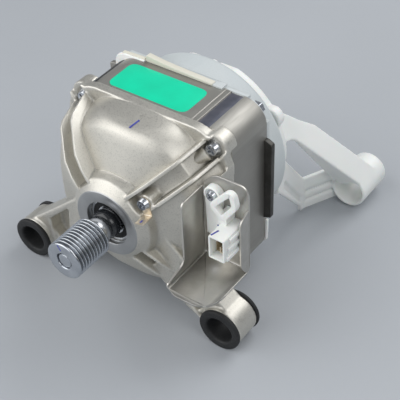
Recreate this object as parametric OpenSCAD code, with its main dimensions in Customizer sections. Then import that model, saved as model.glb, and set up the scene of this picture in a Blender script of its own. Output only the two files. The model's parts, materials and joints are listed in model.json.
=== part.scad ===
// Belt drive motor of a washing machine, with its front lugs and rear legs.
// Pieces are drawn about the shaft: X to the right, Y from the pulley to the back, Z up.

/* [Shaft and pulley] */
// Diameter of the shaft in both bearings
shaft_d = 12; // [10:0.5:12.5]
// Diameter of the shaft between the bearings
shaft_core_d = 17; // [16:0.5:18]
// Crest diameter of the belt pulley
pulley_d = 24; // [21:0.5:30]
// Length of the belt pulley
pulley_len = 25.5; // [24.5:0.5:32]
// Number of belt grooves
groove_count = 10; // [5:1:10]
// Plain length at each end of the pulley
groove_edge = 1.05; // [0.8:0.05:3]
// Depth of a belt groove
groove_depth = 1.7; // [0.8:0.1:2]
// Length of the steel collar behind the pulley
collar_len = 5; // [3:0.5:9]
// Diameter of the steel collar
collar_d = 16; // [15:0.5:18]
// Length of the black slinger sleeve
slinger_len = 11; // [8:0.5:14]
// Diameter of the black slinger sleeve
slinger_d = 18; // [15:0.5:18.4]

/* [Bearings] */
// Outer diameter of both bearings
bearing_od = 32; // [31:0.5:34]
// Width of both bearings
bearing_w = 10; // [9:0.5:11]
// Diameter of a ball
ball_d = 4.76; // [4:0.02:5]
// Number of balls in a bearing
ball_count = 7; // [5:1:8]
// Radius of the circle that the balls run on
ball_pitch_r = 11; // [10.8:0.1:11.2]

/* [Stator body] */
// Half of the width of the square steel body
body_half = 56; // [55:0.5:58]
// Corner radius of the square body
body_corner_r = 22; // [18:0.5:24]
// Length of the stator body
body_len = 35; // [30:1:50]
// Thickness of the folded steel jacket
jacket_t = 1.2; // [0.8:0.1:2]
// Distance of the stator bore inside the body's sides
bore_in = 22; // [21:0.5:23]
// Gap between the rotor and the stator
air_gap = 0.6; // [0.4:0.1:1]
// Number of stator slots
slot_count = 12; // [6:3:18]
// Length of each winding overhang
overhang_len = 10; // [7:1:11]

/* [Front bell] */
// Outer radius of the hub face
hub_r = 21.6; // [20.5:0.2:23]
// Radius of the hub opening in front of the bearing
hub_open_r = 14.5; // [12:0.5:15]
// Length of the lip in front of the bearing
hub_lip = 4; // [3:0.5:5]
// How far the dome's sides stand inside the rim
shoulder_in = 8; // [6:0.5:9]
// Distance of the dome shoulder behind the hub face
shoulder_y = 25; // [23:0.5:27]
// Distance of the rim's front face behind the hub face
rim_y = 40; // [39:0.5:42]
// Thickness of the bell rim
rim_t = 7; // [5:0.5:10]
// How far the bell rim stands out from the body
rim_over = 1.5; // [1:0.1:2]
// Distance of the corner screws from the sides of the body
screw_in = 10; // [9.5:0.1:11]
// Half of the width of a diagonal channel
channel_half = 5.4; // [4.5:0.1:6]
// Thickness of the ribs beside a channel
rib_t = 2; // [1.5:0.1:3]

/* [Suspension] */
// Distance of the four suspension points from the shaft, along X
lug_x = 72; // [70:0.5:76]
// Depth of the four suspension points below the shaft
lug_z = 53; // [51:0.5:56]
// Radius of a front lug
lug_r = 13.2; // [12.5:0.1:14]
// Front face of a front lug, behind the hub face
lug_y = 9; // [7:0.5:11]
// Length of a front lug
lug_len = 18; // [16:1:24]
// Radius of the lug bore that holds the rubber bush
bush_seat_r = 10.6; // [10:0.1:11]
// Radius of the bush bore
bush_bore_r = 8.5; // [6:0.1:9.4]
// Radius of the bush flanges
bush_flange_r = 13.8; // [13.5:0.1:15]
// Thickness of a bush flange
bush_flange_t = 2.6; // [1.5:0.1:4]
// Outer radius of a rear sleeve
sleeve_r = 12; // [11.5:0.1:13.5]
// Bore radius of a rear sleeve
sleeve_bore_r = 10; // [8:0.1:10.4]
// Front face of the rear sleeves, behind the hub face
sleeve_y = 156; // [154:1:165]
// Length of a rear sleeve
sleeve_len = 30; // [26:1:36]

/* [Rear cap and bracket] */
// How far the rear cap stands out from the body's sides
cap_over = 0.5; // [0.2:0.1:0.8]
// Length of the rear cap
cap_len = 23; // [22.5:0.5:26]
// Wall of the rear cap
cap_wall = 3; // [2:0.2:4]
// How far the bracket's base disc stands inside the rear cap
base_in = 5; // [4.5:0.1:6]
// Thickness of the bracket's base disc
base_t = 4; // [3:0.5:5]
// Wall of the bracket's legs
leg_t = 3; // [2:0.2:4]
// Width of the upper strap of a leg
strap_w = 20.4; // [15:0.1:22]

/* [Connector] */
// Thickness of the connector tray's sheet
tray_t = 1.2; // [0.8:0.1:1.6]
// How far the tray's left face stands inside the bell rim
tray_in = 7.2; // [6:0.1:7.2]
// Width of the tray
tray_w = 31; // [30:0.5:34]
// Front face of the tray's back plate, behind the hub face
tray_y = 25; // [24:0.5:27]
// Top of the tray's back plate, above the shaft
tray_top = 45.5; // [44:0.5:50]
// Depth of the tray floor below the shaft
tray_floor = 14; // [13:0.2:14.6]
// Width of the socket
socket_w = 10.5; // [10:0.5:12]
// Height of the socket
socket_h = 16; // [15:0.5:18]
// Length of the socket, from the back plate forwards
socket_len = 20; // [17:0.5:22]
// Wall of the socket
socket_wall = 1.2; // [0.8:0.1:1.6]

/* [Label] */
// Length of the bare label on the roof
label_w = 56; // [40:1:60]
// Width of the bare label on the roof
label_d = 25; // [15:1:27]
// Thickness of the bare label
label_t = 0.3; // [0.2:0.05:0.6]

/* [Hidden] */
$fn = 64;

// Small gap between pieces that slide into each other, and overlap of cuts
slip = 0.05;
cut = 1;

// Places along the shaft
front_bearing_y = hub_lip;
slinger_y = front_bearing_y - slinger_len;
collar_y = slinger_y - collar_len;
pulley_y = collar_y - pulley_len;
groove_pitch = (pulley_len - 2 * groove_edge) / groove_count;
body_y = rim_y + rim_t;
cap_y = body_y + body_len;
cap_back = cap_y + cap_len;
washer_t = 1;
washer_w = 2.5;
washer_slip = 0.2;
base_gap = 0.2;
rear_bearing_y = cap_back - bearing_w - washer_t;
shaft_back = cap_back - washer_t / 2;
base_y = cap_back + base_gap;
sleeve_back = sleeve_y + sleeve_len;

// Sizes across the shaft that follow the body
rim_half = body_half + rim_over;
screw_at = body_half - screw_in;
cap_r = body_half + cap_over;
base_r = cap_r - base_in;
tray_x = rim_half - tray_in;

// The part stands on the widest of its bushes, lugs and sleeves, with its origin under the middle of its box
stand_z = lug_z + max(bush_flange_r, lug_r, sleeve_r);
middle_y = (pulley_y + sleeve_back) / 2;

// Bearing sections
shaft_r = shaft_d / 2;
bearing_r = bearing_od / 2;
shoulder_gap = 1.7;
race_in_r = ball_pitch_r - shoulder_gap;
race_out_r = ball_pitch_r + shoulder_gap;
race_slip = 0.04;
cage_w = 6.4;
cage_half_t = 0.6;
seal_t = 0.9;
seal_in = 0.4;
seal_gap = 0.3;

// Rotor and stator sections
stator_bore_r = body_half - bore_in;
rotor_r = stator_bore_r - air_gap;
magnet_t = 3.4;
magnet_count = 8;
magnet_share = 0.84;
rotor_margin = 0.5;
tooth_tip = 2.5;
yoke_t = 10;
slot_in_r = stator_bore_r + tooth_tip;
slot_out_r = body_half - yoke_t;
slot_share = 0.56;
slot_mouth = 2.4;
insulator_t = 1.6;
coil_inset = 1;
coil_bar_inset = 0.4;
coil_bar_share = 0.8;
notch_inset = 0.6;
notch_share = 0.95;

// Corner screws and nuts
screw_r = 2.5;
screw_hole_r = 2.7;
screw_head_r = 5;
screw_head_h = 3.4;
seat_sink = 4;
screw_seat_y = rim_y + seat_sink;
screw_room_r = 6.2;
screw_room_len = 10;
boss_r = 9.5;
flange_t = 3;
nut_h = 4;
nut_r = 4.6;
nut_room = 1.4;
screw_tail = 1.5;
screw_end = cap_y + flange_t + nut_h + screw_tail;
screw_far = screw_at * sqrt(2);

// Dome of the bell, with points as distance from the shaft and Y
flank_r = hub_r + 5.9;
flank_y = 5;
groove_r = flank_r + 1.5;
groove_y = 11;
shoulder_half = rim_half - shoulder_in;
side_y = shoulder_y + 1.5;
// The top face stands higher than the other sides
top_half = rim_half - 1.9;
top_y = shoulder_y - 4;
rim_corner_r = body_corner_r + 2;
rim_wall = 7;
cavity_r = rim_half - rim_wall;
cavity_in = 13.5;
dome_wall = 4.5;
seat_wall = 2;
ear_len = 6;
ear_slip = 0.2;
dome_in = [rim_half - 6.5, shoulder_y - 6.6];
dome_mid = [rim_half - 3, shoulder_y - 4];
dome_out = [rim_half + 0.5, shoulder_y + 0.2];
dome_edge = [rim_half + 8.5, rim_y + 1];

// Floor of a diagonal channel and top of its ribs, with points as distance along the diagonal and Y
channel_top = rim_y + 3;
channel_far = screw_far + 14;
channel_line = [[hub_r + 3.5, 11.5], [hub_r + 9.8, 14], [screw_far - 16.7, 22], [screw_far - 11, 27],
    [screw_far - 7, channel_top], [channel_far, channel_top]];
rib_start = hub_r - 1;
rib_end = screw_far + 1.4;
rib_top = [[rib_start, 3.6], [hub_r + 4.7, 3.4], [hub_r + 14.8, 6.9], [hub_r + 25.3, 11.6],
    [screw_far - 6.2, 19.7], [screw_far - 3.4, 23.5], [screw_far + 0.8, 36.4], [rib_end, rim_y + 1]];
rib_foot = [[screw_far - 8, rim_y + 1], [rim_half - 11, shoulder_y], [rib_start, groove_y + 2]];

// Earth connection in the upper right channel, and the small screws
earth_x = 24;
earth_z = 22;
earth_y = 7.2;
earth_room = 0.4;
earth_lean = 15;
earth_drop = 9;
earth_half = 3.2;
earth_boss_r = 5;
earth_boss_len = 14;
earth_tab_t = 0.8;
small_r = 2;
small_len = 8;
small_room = 1;
small_head_r = 4.2;
small_head_h = 2.6;

// Arms of the front lugs, as outlines across the shaft
arm_y = 12;
arm_back = lug_y + lug_len;
arm_wall = 3.5;
arm_web = 5;
arm_rib_t = 2.4;
arm_rib_len = 20;
arm_rib_lean = 30;
arm_in = [28, 0];
arm_bend = [lug_x - 3, 17 - lug_z];
arm_tip = [lug_x + 9.2, 7.8 - lug_z];
arm_low = [lug_x - 10, -8.6 - lug_z];
arm_foot = [37, -48];
arm_heel = [22, -36];

// Posts of the bell that carry the tray, and the outline of the tray
post_x = tray_x + 10.2;
post_r = 4.6;
post_high_z = tray_top - 10.8;
post_low_z = 9 - tray_floor;
tray_back = tray_y + tray_t;
tray_right = tray_x + tray_w;
tray_low = -tray_floor - tray_t;
tray_reach = 39.4;
wall_reach = 20;
lip_reach = 7.7;
tray_front = tray_y - tray_reach;
wall_front = tray_y - wall_reach;
wall_drop = 10.5;
wall_top = tray_top - wall_drop;
tray_corner = 9;
tray_nose = 6.5;
lip_y = tray_y - lip_reach;
lip_low = 7 - tray_floor;
lip_high = tray_top - 19.5;
lip_step = 5;

// Connector
ear_t = 4;
eye_r = 5.4;
eye_head_r = 3.6;
eye_head_h = 2.4;
eye_rim = 1.4;
socket_in = 2.6;
socket_x = tray_right - socket_w - socket_in;
socket_z = 5.4;
socket_top = socket_z + socket_h;
socket_y = tray_y - socket_len;
socket_back = 3;
pin_w = 1;
pin_len = 8;
stem_x = tray_x + 5;
stem_w = 10.6;
clip_y = tray_y - 9;
clip_t = 4;
clip_foot_w = 5;
clip_foot_h = 9;

// Rear cap and the base of the bracket
cap_hub_r = bearing_r + 3;
cap_fillet = 4;
hub_tail = 3;
base_open_r = cap_hub_r + 2;
base_rim_t = 3;
base_rim_h = 6.8;
base_flat = base_r - 2.4;
base_rib_t = 2;
lobe_r = 7;
lobe_in_x = 13.5;
lobe_in_z = 30.5;
lobe_x = cap_r - lobe_in_x;
lobe_z = cap_r - lobe_in_z;
lobe_h = 6;
lobe_boss_r = 4.5;
lobe_boss_len = 9;
head_room = 0.4;
head_room_len = 6;
ear_x = cap_r - 6.5;
ear_in = ear_x - 18;
ear_h = 7;

// Strap of a rear leg: a flat plate from the base, tangent to the sleeve
strap_tip = [lobe_x - 0.3 - lug_x, lobe_z - 3.4 + lug_z];
strap_end = sqrt(strap_tip * strap_tip - sleeve_r * sleeve_r);
strap_lean = atan2(strap_tip[0], strap_tip[1]) + acos(sleeve_r / norm(strap_tip));
strap_foot_s = 4;
strap_neck_s = strap_end - 20.7;
strap_neck_y = base_y + 15;
strap_slope = (sleeve_y - strap_neck_y) / (strap_neck_s - strap_foot_s);
strap_wall = 14;
strap_full_s = 16;

// Bar of a rear leg, with its elbow near the floor
bar_x = ear_x - leg_t;
bar_end_x = lug_x - 9;
bar_end_y = sleeve_y + 7;
elbow_reach = 31.8;
// Extra radius that keeps the bar clear of the way into a sleeve
sleeve_lead = 0.6;
elbow_h = 26;
elbow_y = base_y + elbow_reach;
elbow_low = 1.6 - stand_z;
elbow_high = elbow_low + elbow_h;
bar_high = -7;
bar_low = -30;
bar_recess = 1.6;
groove_h = 3;
groove_low = 6;
groove_step = 7;

// Tacho ring and sensor board
tacho_r = 14;
tacho_len = 6;
tacho_gap = 2;
board_t = 1.6;
board_w = 14;
board_in_r = bearing_r + 0.4;
board_out_r = board_in_r + board_w;
hall_size = 3;
hall_r = 20;
cap_hub_front = rear_bearing_y - 1;
board_y = cap_hub_front - board_t;

// Draws a profile given in X and Z as a block from y0 to y1
module slab(y0, y1) {
    translate([0, y1, 0]) rotate([90, 0, 0]) linear_extrude(y1 - y0) children();
}

// Turns a profile given in radius and Y about the shaft
module turned() {
    rotate([-90, 0, 0]) rotate_extrude() children();
}

// A round bar along the shaft's direction
module bar_y(x, z, r, y0, y1) {
    translate([x, y0, z]) rotate([-90, 0, 0]) cylinder(r = r, h = y1 - y0);
}

// A ring about the shaft
module ring_y(r_in, r_out, y0, y1) {
    difference() {
        bar_y(0, 0, r_out, y0, y1);
        bar_y(0, 0, r_in, y0 - cut, y1 + cut);
    }
}

// Children at the four corners, turned so that local X points outwards along the diagonal
module diagonals() {
    for (a = [45 : 90 : 315]) rotate([0, -a, 0]) children();
}

// Children on both sides of the part
module both_sides() {
    children();
    mirror([1, 0, 0]) children();
}

// Square with round corners, in X and Z
module round_square(half, r) {
    square([2 * half, 2 * (half - r)], center = true);
    square([2 * (half - r), 2 * half], center = true);
    for (x = [-1, 1], z = [-1, 1]) translate([x * (half - r), z * (half - r)]) circle(r);
}

// Children at the four corner screws
module corners() {
    for (x = [-1, 1], z = [-1, 1]) translate([x * screw_at, 0, z * screw_at]) children();
}

// Pan head screw along Y with a cross recess, head in front
module pan_screw(x, z, r, head_r, head_h, seat, end) {
    slot_w = head_r / 4;
    slot_len = head_r * 1.1;
    top_r = head_r * 0.72;
    difference() {
        union() {
            bar_y(x, z, r, seat, end);
            translate([x, seat, z]) rotate([90, 0, 0]) cylinder(r1 = head_r, r2 = top_r, h = head_h);
        }
        for (a = [45, 135]) translate([x, seat - head_h, z]) rotate([0, a, 0])
            cube([slot_len, head_h, slot_w], center = true);
    }
}

module along_diagonal(half, points) {
    translate([0, 0, -half]) linear_extrude(2 * half) polygon(points);
}

// Block that narrows from the rim to the shoulder on two sides
module dome_sides(high, high_y) {
    wide = rim_half + boss_r;
    foot_y = rim_y + 1;
    translate([-wide, 0, 0]) rotate([90, 0, 90]) linear_extrude(2 * wide) polygon([[-cut, -shoulder_half],
        [side_y, -shoulder_half], [rim_y, -rim_half], [foot_y, -rim_half], [foot_y, rim_half],
        [rim_y, rim_half], [high_y, high], [-cut, high]]);
}

module dome() {
    intersection() {
        turned() polygon([[0, 0], [hub_r, 0], [flank_r, flank_y], [groove_r, groove_y], dome_in, dome_mid,
            dome_out, dome_edge, [0, dome_edge[1]]]);
        dome_sides(top_half, top_y);
        rotate([0, 90, 0]) dome_sides(shoulder_half, side_y);
    }
}

module channels() {
    diagonals() along_diagonal(channel_half, concat(channel_line,
        [[channel_far, -cut], [channel_line[0][0], -cut]]));
}

module channel_ribs() {
    diagonals() for (side = [-1, 1]) translate([0, 0, side * (channel_half + rib_t / 2)])
        along_diagonal(rib_t / 2, concat(rib_top, rib_foot));
}

module bell_cavity() {
    hub_back = front_bearing_y + bearing_w + seat_wall;
    seat_r = bearing_r + dome_wall;
    turned() polygon([[0, hub_back], [seat_r, hub_back], [groove_r, groove_y + dome_wall + seat_wall],
        [rim_half - cavity_in, shoulder_y], [cavity_r, rim_y - 1], [cavity_r, body_y + cut],
        [0, body_y + cut]]);
}

// Ears of the rim that reach back over the corners of the body
module rim_ears() {
    difference() {
        corners() bar_y(0, 0, boss_r, body_y - cut, body_y + ear_len);
        slab(body_y - 2 * cut, body_y + ear_len + cut)
            round_square(body_half + ear_slip, body_corner_r + ear_slip);
    }
}

module arm_outline() {
    polygon([arm_in, arm_bend, arm_tip, [lug_x, -lug_z], arm_low, arm_foot, arm_heel]);
}

// Pocket that leaves the top flange, the foot and one rib of an arm
module arm_pocket() {
    polygon([arm_in + [14, -14 - arm_wall], arm_bend + [-9.5, 1.5], [lug_x - 13, 11 - lug_z],
        [lug_x - 14.5, 4 - lug_z], [lug_x - 16, -4 - lug_z], arm_foot + [8, 1.5]]);
}

module lug_arm() {
    rib_y = arm_y + 2;
    difference() {
        union() {
            slab(arm_y, arm_back) arm_outline();
            bar_y(lug_x, -lug_z, lug_r, lug_y, arm_back);
        }
        slab(arm_y - cut, arm_back - arm_web) arm_pocket();
    }
    translate([lug_x - 19, rib_y, -lug_z]) rotate([0, arm_rib_lean, 0])
        cube([arm_rib_t, arm_back - rib_y - 2, arm_rib_len]);
}

// Outline of the earth tab: an eye under the screw and a drop beside it
module earth_outline(grow) {
    translate([earth_x, earth_z]) {
        circle(small_head_r + grow);
        rotate(earth_lean) translate([-earth_half - grow, -earth_drop - grow])
            square([2 * (earth_half + grow), earth_drop + grow]);
    }
}

module bell_body() {
    difference() {
        union() {
            difference() {
                union() {
                    dome();
                    slab(rim_y, body_y) round_square(rim_half, rim_corner_r);
                    corners() bar_y(0, 0, boss_r, rim_y, body_y);
                }
                channels();
            }
            channel_ribs();
        }
        corners() bar_y(0, 0, screw_room_r, screw_seat_y - screw_room_len, screw_seat_y);
        slab(-cut, earth_y + earth_room) earth_outline(earth_room);
    }
    bar_y(earth_x, earth_z, earth_boss_r, earth_y, earth_y + earth_boss_len);
    both_sides() lug_arm();
    for (z = [post_high_z, post_low_z]) bar_y(post_x, z, post_r, tray_back, body_y);
    rim_ears();
}

module front_bell() {
    hole_r = small_r + slip;
    hole_len = small_len + small_room;
    color("silver") difference() {
        bell_body();
        bell_cavity();
        bar_y(0, 0, hub_open_r, -cut, front_bearing_y + cut);
        bar_y(0, 0, bearing_r, front_bearing_y, front_bearing_y + bearing_w + seat_wall + cut);
        corners() bar_y(0, 0, screw_hole_r, -cut, body_y + cut);
        bar_y(earth_x, earth_z, hole_r, earth_y - cut, earth_y + hole_len);
        both_sides() bar_y(lug_x, -lug_z, bush_seat_r, lug_y - cut, arm_back + cut);
        for (z = [post_high_z, post_low_z]) bar_y(post_x, z, hole_r, tray_back - cut, tray_back + hole_len);
    }
}

module stator_jacket() {
    inner = body_half - jacket_t;
    strip_x = 30.5;
    strip_w = 6;
    color("lightgray") difference() {
        slab(body_y, cap_y) round_square(body_half, body_corner_r);
        slab(body_y - cut, cap_y + cut) round_square(inner, body_corner_r - jacket_t);
        for (turn = [0 : 90 : 270]) rotate([0, turn, 0]) for (side = [-1, 1])
            translate([side * strip_x - strip_w / 2, body_y - cut, body_half - jacket_t / 2])
                cube([strip_w, body_len + 2 * cut, jacket_t]);
    }
}

// Slot outline between two radii, centred on local X
module slot_outline(r_in, r_out, share) {
    half = 180 / slot_count * share;
    polygon([[r_in * cos(half), -r_in * sin(half)], [r_out * cos(half), -r_out * sin(half)],
        [r_out * cos(half), r_out * sin(half)], [r_in * cos(half), r_in * sin(half)]]);
}

module at_slots() {
    for (i = [0 : slot_count - 1]) rotate([0, i * 360 / slot_count, 0]) children();
}

module stator_core() {
    half = body_half - jacket_t - slip;
    mouth_len = tooth_tip + 4 * cut;
    color("dimgray") difference() {
        slab(body_y, cap_y) round_square(half, body_corner_r - jacket_t - slip);
        bar_y(0, 0, stator_bore_r, body_y - cut, cap_y + cut);
        at_slots() {
            slab(body_y - cut, cap_y + cut) slot_outline(slot_in_r, slot_out_r, slot_share);
            translate([stator_bore_r - 2 * cut, body_y - cut, -slot_mouth / 2])
                cube([mouth_len, body_len + 2 * cut, slot_mouth]);
        }
        corners() bar_y(0, 0, screw_hole_r, body_y - cut, cap_y + cut);
    }
}

// Winding: a ring over each end of the core, and a bar in each slot
module stator_winding() {
    r_in = slot_in_r + coil_inset;
    r_out = slot_out_r - coil_inset;
    front = body_y - insulator_t;
    back = cap_y + insulator_t;
    color("peru") {
        ring_y(r_in, r_out, front - overhang_len, front);
        ring_y(r_in, r_out, back, back + overhang_len);
        at_slots() slab(front - cut, back + cut)
            slot_outline(r_in + coil_bar_inset, r_out - coil_bar_inset, slot_share * coil_bar_share);
    }
}

// End insulator: a ring on the core with a notch at each slot
module end_insulator(y0) {
    color("white") difference() {
        ring_y(slot_in_r - coil_inset, slot_out_r + coil_inset, y0, y0 + insulator_t);
        at_slots() slab(y0 - cut, y0 + insulator_t + cut)
            slot_outline(slot_in_r + notch_inset, slot_out_r - notch_inset, slot_share * notch_share);
    }
}

module front_insulator() {
    end_insulator(body_y - insulator_t);
}

module rear_insulator() {
    end_insulator(cap_y);
}

module label_plate() {
    r = 3;
    label_x = -5.5;
    label_y = body_y + 2 + label_d / 2;
    color("mediumspringgreen") translate([label_x, label_y, body_half]) linear_extrude(label_t) {
        square([label_w, label_d - 2 * r], center = true);
        square([label_w - 2 * r, label_d], center = true);
        for (x = [-1, 1], y = [-1, 1]) translate([x * (label_w / 2 - r), y * (label_d / 2 - r)]) circle(r);
    }
}

module bracket_points() {
    for (x = [-1, 1], z = [-1, 1]) translate([x * lobe_x, 0, z * lobe_z]) children();
}

// Drum of the cap with a round back edge
module cap_drum() {
    edge = [for (a = [0 : 15 : 90])
        [cap_r - cap_fillet + cap_fillet * cos(a), cap_back - cap_fillet + cap_fillet * sin(a)]];
    turned() polygon(concat([[0, cap_y + 1], [cap_r, cap_y + 1]], edge, [[0, cap_back]]));
}

// Lip over one side of the body, with a tab at each end
module cap_lip() {
    lip_half = 27;
    lip_t = 1.3;
    lip_reach = 2.5;
    tab_x = 29;
    tab_w = 14;
    tab_t = 3.2;
    translate([-lip_half, cap_y - lip_reach, body_half + slip])
        cube([2 * lip_half, lip_reach + flange_t, lip_t]);
    translate([-lip_half, cap_y, body_half - lip_t]) cube([2 * lip_half, flange_t, 2 * lip_t]);
    for (x = [tab_x, -tab_x - tab_w]) translate([x, cap_y, body_half - tab_t]) cube([tab_w, flange_t, tab_t]);
}

module rear_cap() {
    nut_y = cap_y + flange_t;
    color("lightsteelblue") difference() {
        union() {
            difference() {
                union() {
                    slab(cap_y, nut_y) round_square(body_half, body_corner_r);
                    cap_drum();
                }
                bar_y(0, 0, cap_r - cap_wall, cap_y - cut, cap_back - cap_wall);
            }
            bar_y(0, 0, cap_hub_r, cap_hub_front, cap_back + hub_tail);
            bracket_points() bar_y(0, 0, lobe_boss_r, cap_back - lobe_boss_len, cap_back - cap_wall + cut);
            for (turn = [0 : 90 : 270]) rotate([0, turn, 0]) cap_lip();
        }
        bar_y(0, 0, bearing_r, cap_hub_front - cut, cap_back);
        bracket_points() bar_y(0, 0, small_r + slip, cap_back - small_len, cap_back + cut);
        corners() bar_y(0, 0, screw_hole_r, cap_y - cut, nut_y + cut);
        corners() bar_y(0, 0, nut_r + nut_room, nut_y, nut_y + nut_h + nut_room);
    }
}

// Far edge of a strap, at a distance from the sleeve
function strap_back(s) = sleeve_y + strap_w - (s - strap_foot_s) * strap_slope;

// Upper strap of a leg, in its own plane, with a wall along its front edge
module leg_strap() {
    ear_back = base_y + ear_h;
    top_s = strap_neck_s + 4;
    blend_s = strap_end - 22.5;
    edge_y = sleeve_y + slip;
    edge = [[0, edge_y], [strap_foot_s, edge_y], [strap_neck_s, strap_neck_y]];
    wall_in = [0, leg_t];
    translate([lug_x + sleeve_r * sin(strap_lean), 0, -lug_z + sleeve_r * cos(strap_lean)])
        rotate([0, 180 + strap_lean, 0]) {
            linear_extrude(leg_t) polygon(concat(edge, [[strap_neck_s + 2, base_y + 11.8],
                [top_s, base_y + 5.8], [top_s, base_y + 1], [strap_end, base_y + 1],
                [strap_end, ear_back + ear_h], [strap_end - 11.8, base_y + 25],
                [blend_s, strap_back(blend_s)],
                [strap_foot_s, strap_back(strap_foot_s)], [0, strap_back(strap_foot_s)]]));
            intersection() {
                translate([0, slip, 0]) linear_extrude(strap_wall)
                    polygon(concat(edge, [edge[2] + wall_in, edge[1] + wall_in, edge[0] + wall_in]));
                slab(base_y, sleeve_back) polygon([[cut, cut], [strap_neck_s - cut, cut],
                    [strap_neck_s - cut, leg_t + slip], [strap_full_s, strap_wall], [cut, strap_wall]]);
            }
        }
}

// Side plate of a leg's bar, from the base down to the elbow
module leg_side() {
    recess_end = elbow_y - 3;
    recess_y = base_y + 4;
    difference() {
        translate([bar_x, 0, 0]) rotate([90, 0, 90]) linear_extrude(leg_t) polygon([[base_y + 1, bar_low],
            [elbow_y, elbow_low], [elbow_y, elbow_high], [base_y + ear_h, bar_high],
            [base_y + 1, bar_high + 4]]);
        translate([ear_x - bar_recess, 0, 0]) rotate([90, 0, 90]) linear_extrude(leg_t) polygon([
            [recess_y, bar_low + 2], [recess_end, elbow_low + groove_step],
            [recess_end, elbow_low + groove_low + groove_step], [recess_y, bar_low + 11]]);
    }
}

// Grooved plate of a leg's bar, from the elbow back to the sleeve
module leg_foot() {
    groove_x = bar_recess / 2;
    groove_out = 4;
    difference() {
        translate([0, 0, elbow_low]) linear_extrude(elbow_high - elbow_low) polygon([[bar_x, elbow_y - leg_t],
            [ear_x, elbow_y - leg_t], [ear_x, elbow_y], [bar_end_x, bar_end_y],
            [bar_end_x - leg_t, bar_end_y], [bar_x, elbow_y]]);
        for (i = [0, 1]) translate([0, 0, elbow_low + groove_low + i * groove_step])
            linear_extrude(groove_h) polygon([[ear_x - groove_x, elbow_y + 1],
                [bar_end_x - groove_x, bar_end_y + 1], [bar_end_x + groove_out, bar_end_y + 1],
                [ear_x + groove_out, elbow_y + 1]]);
        bar_y(lug_x, -lug_z, sleeve_bore_r + sleeve_lead, elbow_y, sleeve_y + slip);
    }
}

module bracket_base() {
    rib_len = base_r - base_open_r - 2;
    wide = base_r + cut;
    intersection() {
        union() {
            ring_y(base_open_r, base_r, base_y, base_y + base_t);
            ring_y(base_r - base_rim_t, base_r, base_y, base_y + base_rim_h);
        }
        translate([-wide, base_y - cut, -base_flat]) cube([2 * wide, base_rim_h + 2 * cut, 2 * base_flat]);
    }
    ring_y(base_open_r, base_open_r + base_rim_t, base_y, base_y + base_rim_h);
    for (a = [30 : 60 : 330]) rotate([0, a, 0]) translate([base_open_r + 1, base_y, -base_rib_t / 2])
        cube([rib_len, base_rim_h - 1, base_rib_t]);
    bracket_points() bar_y(0, 0, lobe_r, base_y, base_y + lobe_h);
    both_sides() slab(base_y, base_y + ear_h) polygon([[ear_in, bar_low], [ear_x, bar_low], [ear_x, 9],
        [lobe_x, lobe_z - 4], [ear_in, lobe_z + 2]]);
}

module rear_bracket() {
    seat = base_y + lobe_h;
    color("white") difference() {
        union() {
            bracket_base();
            both_sides() {
                leg_strap();
                leg_side();
                leg_foot();
                bar_y(lug_x, -lug_z, sleeve_r, sleeve_y, sleeve_back);
            }
        }
        both_sides() bar_y(lug_x, -lug_z, sleeve_bore_r, sleeve_y - cut, sleeve_back + cut);
        bracket_points() bar_y(0, 0, small_r + slip, base_y - cut, seat + cut);
        bracket_points() bar_y(0, 0, small_head_r + head_room, seat, seat + head_room_len);
    }
}

// Section of a bearing ring, cut by the path of the balls
module bearing_ring(r_in, r_out, y0) {
    difference() {
        ring_y(r_in, r_out, y0, y0 + bearing_w);
        translate([0, y0 + bearing_w / 2, 0]) turned()
            translate([ball_pitch_r, 0]) circle(ball_d / 2 + race_slip);
    }
}

// Cage ring with a round window for each ball
module bearing_cage(y0) {
    color("khaki") difference() {
        ring_y(ball_pitch_r - cage_half_t, ball_pitch_r + cage_half_t,
            y0 + (bearing_w - cage_w) / 2, y0 + (bearing_w + cage_w) / 2);
        for (i = [0 : ball_count - 1]) rotate([0, i * 360 / ball_count, 0])
            translate([ball_pitch_r - 2, y0 + bearing_w / 2, 0]) rotate([0, 90, 0])
                cylinder(r = ball_d / 2 + 2 * race_slip, h = 4);
    }
}

module ball_set(y0, r) {
    for (i = [0 : ball_count - 1]) rotate([0, i * 360 / ball_count, 0])
        translate([ball_pitch_r, y0 + bearing_w / 2, 0]) sphere(r);
}

module bearing_seals(y0) {
    color("black") for (y = [y0 + seal_in, y0 + bearing_w - seal_in - seal_t])
        ring_y(race_in_r + seal_gap, race_out_r, y, y + seal_t);
}

module front_bearing_outer() {
    color("silver") bearing_ring(race_out_r, bearing_r, front_bearing_y);
}

module rear_bearing_outer() {
    color("silver") bearing_ring(race_out_r, bearing_r, rear_bearing_y);
}

module front_bearing_inner() {
    color("silver") bearing_ring(shaft_r, race_in_r, front_bearing_y);
}

module rear_bearing_inner() {
    color("silver") bearing_ring(shaft_r, race_in_r, rear_bearing_y);
}

module front_bearing_seals() {
    bearing_seals(front_bearing_y);
}

module rear_bearing_seals() {
    bearing_seals(rear_bearing_y);
}

module front_cage() {
    bearing_cage(front_bearing_y);
}

module rear_cage() {
    bearing_cage(rear_bearing_y);
}

module front_balls() {
    color("gainsboro") ball_set(front_bearing_y, ball_d / 2);
}

module rear_balls() {
    color("gainsboro") ball_set(rear_bearing_y, ball_d / 2);
}

module wave_washer() {
    r = bearing_r - washer_slip;
    color("silver") ring_y(r - washer_w, r, rear_bearing_y + bearing_w, cap_back);
}

// Rubber bush with a flange at each end
module lug_bush(x) {
    color("black") translate([x, 0, -lug_z]) difference() {
        union() {
            bar_y(0, 0, bush_seat_r, lug_y - bush_flange_t, arm_back + bush_flange_t);
            bar_y(0, 0, bush_flange_r, lug_y - bush_flange_t, lug_y);
            bar_y(0, 0, bush_flange_r, arm_back, arm_back + bush_flange_t);
        }
        bar_y(0, 0, bush_bore_r, lug_y - bush_flange_t - cut, arm_back + bush_flange_t + cut);
    }
}

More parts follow.
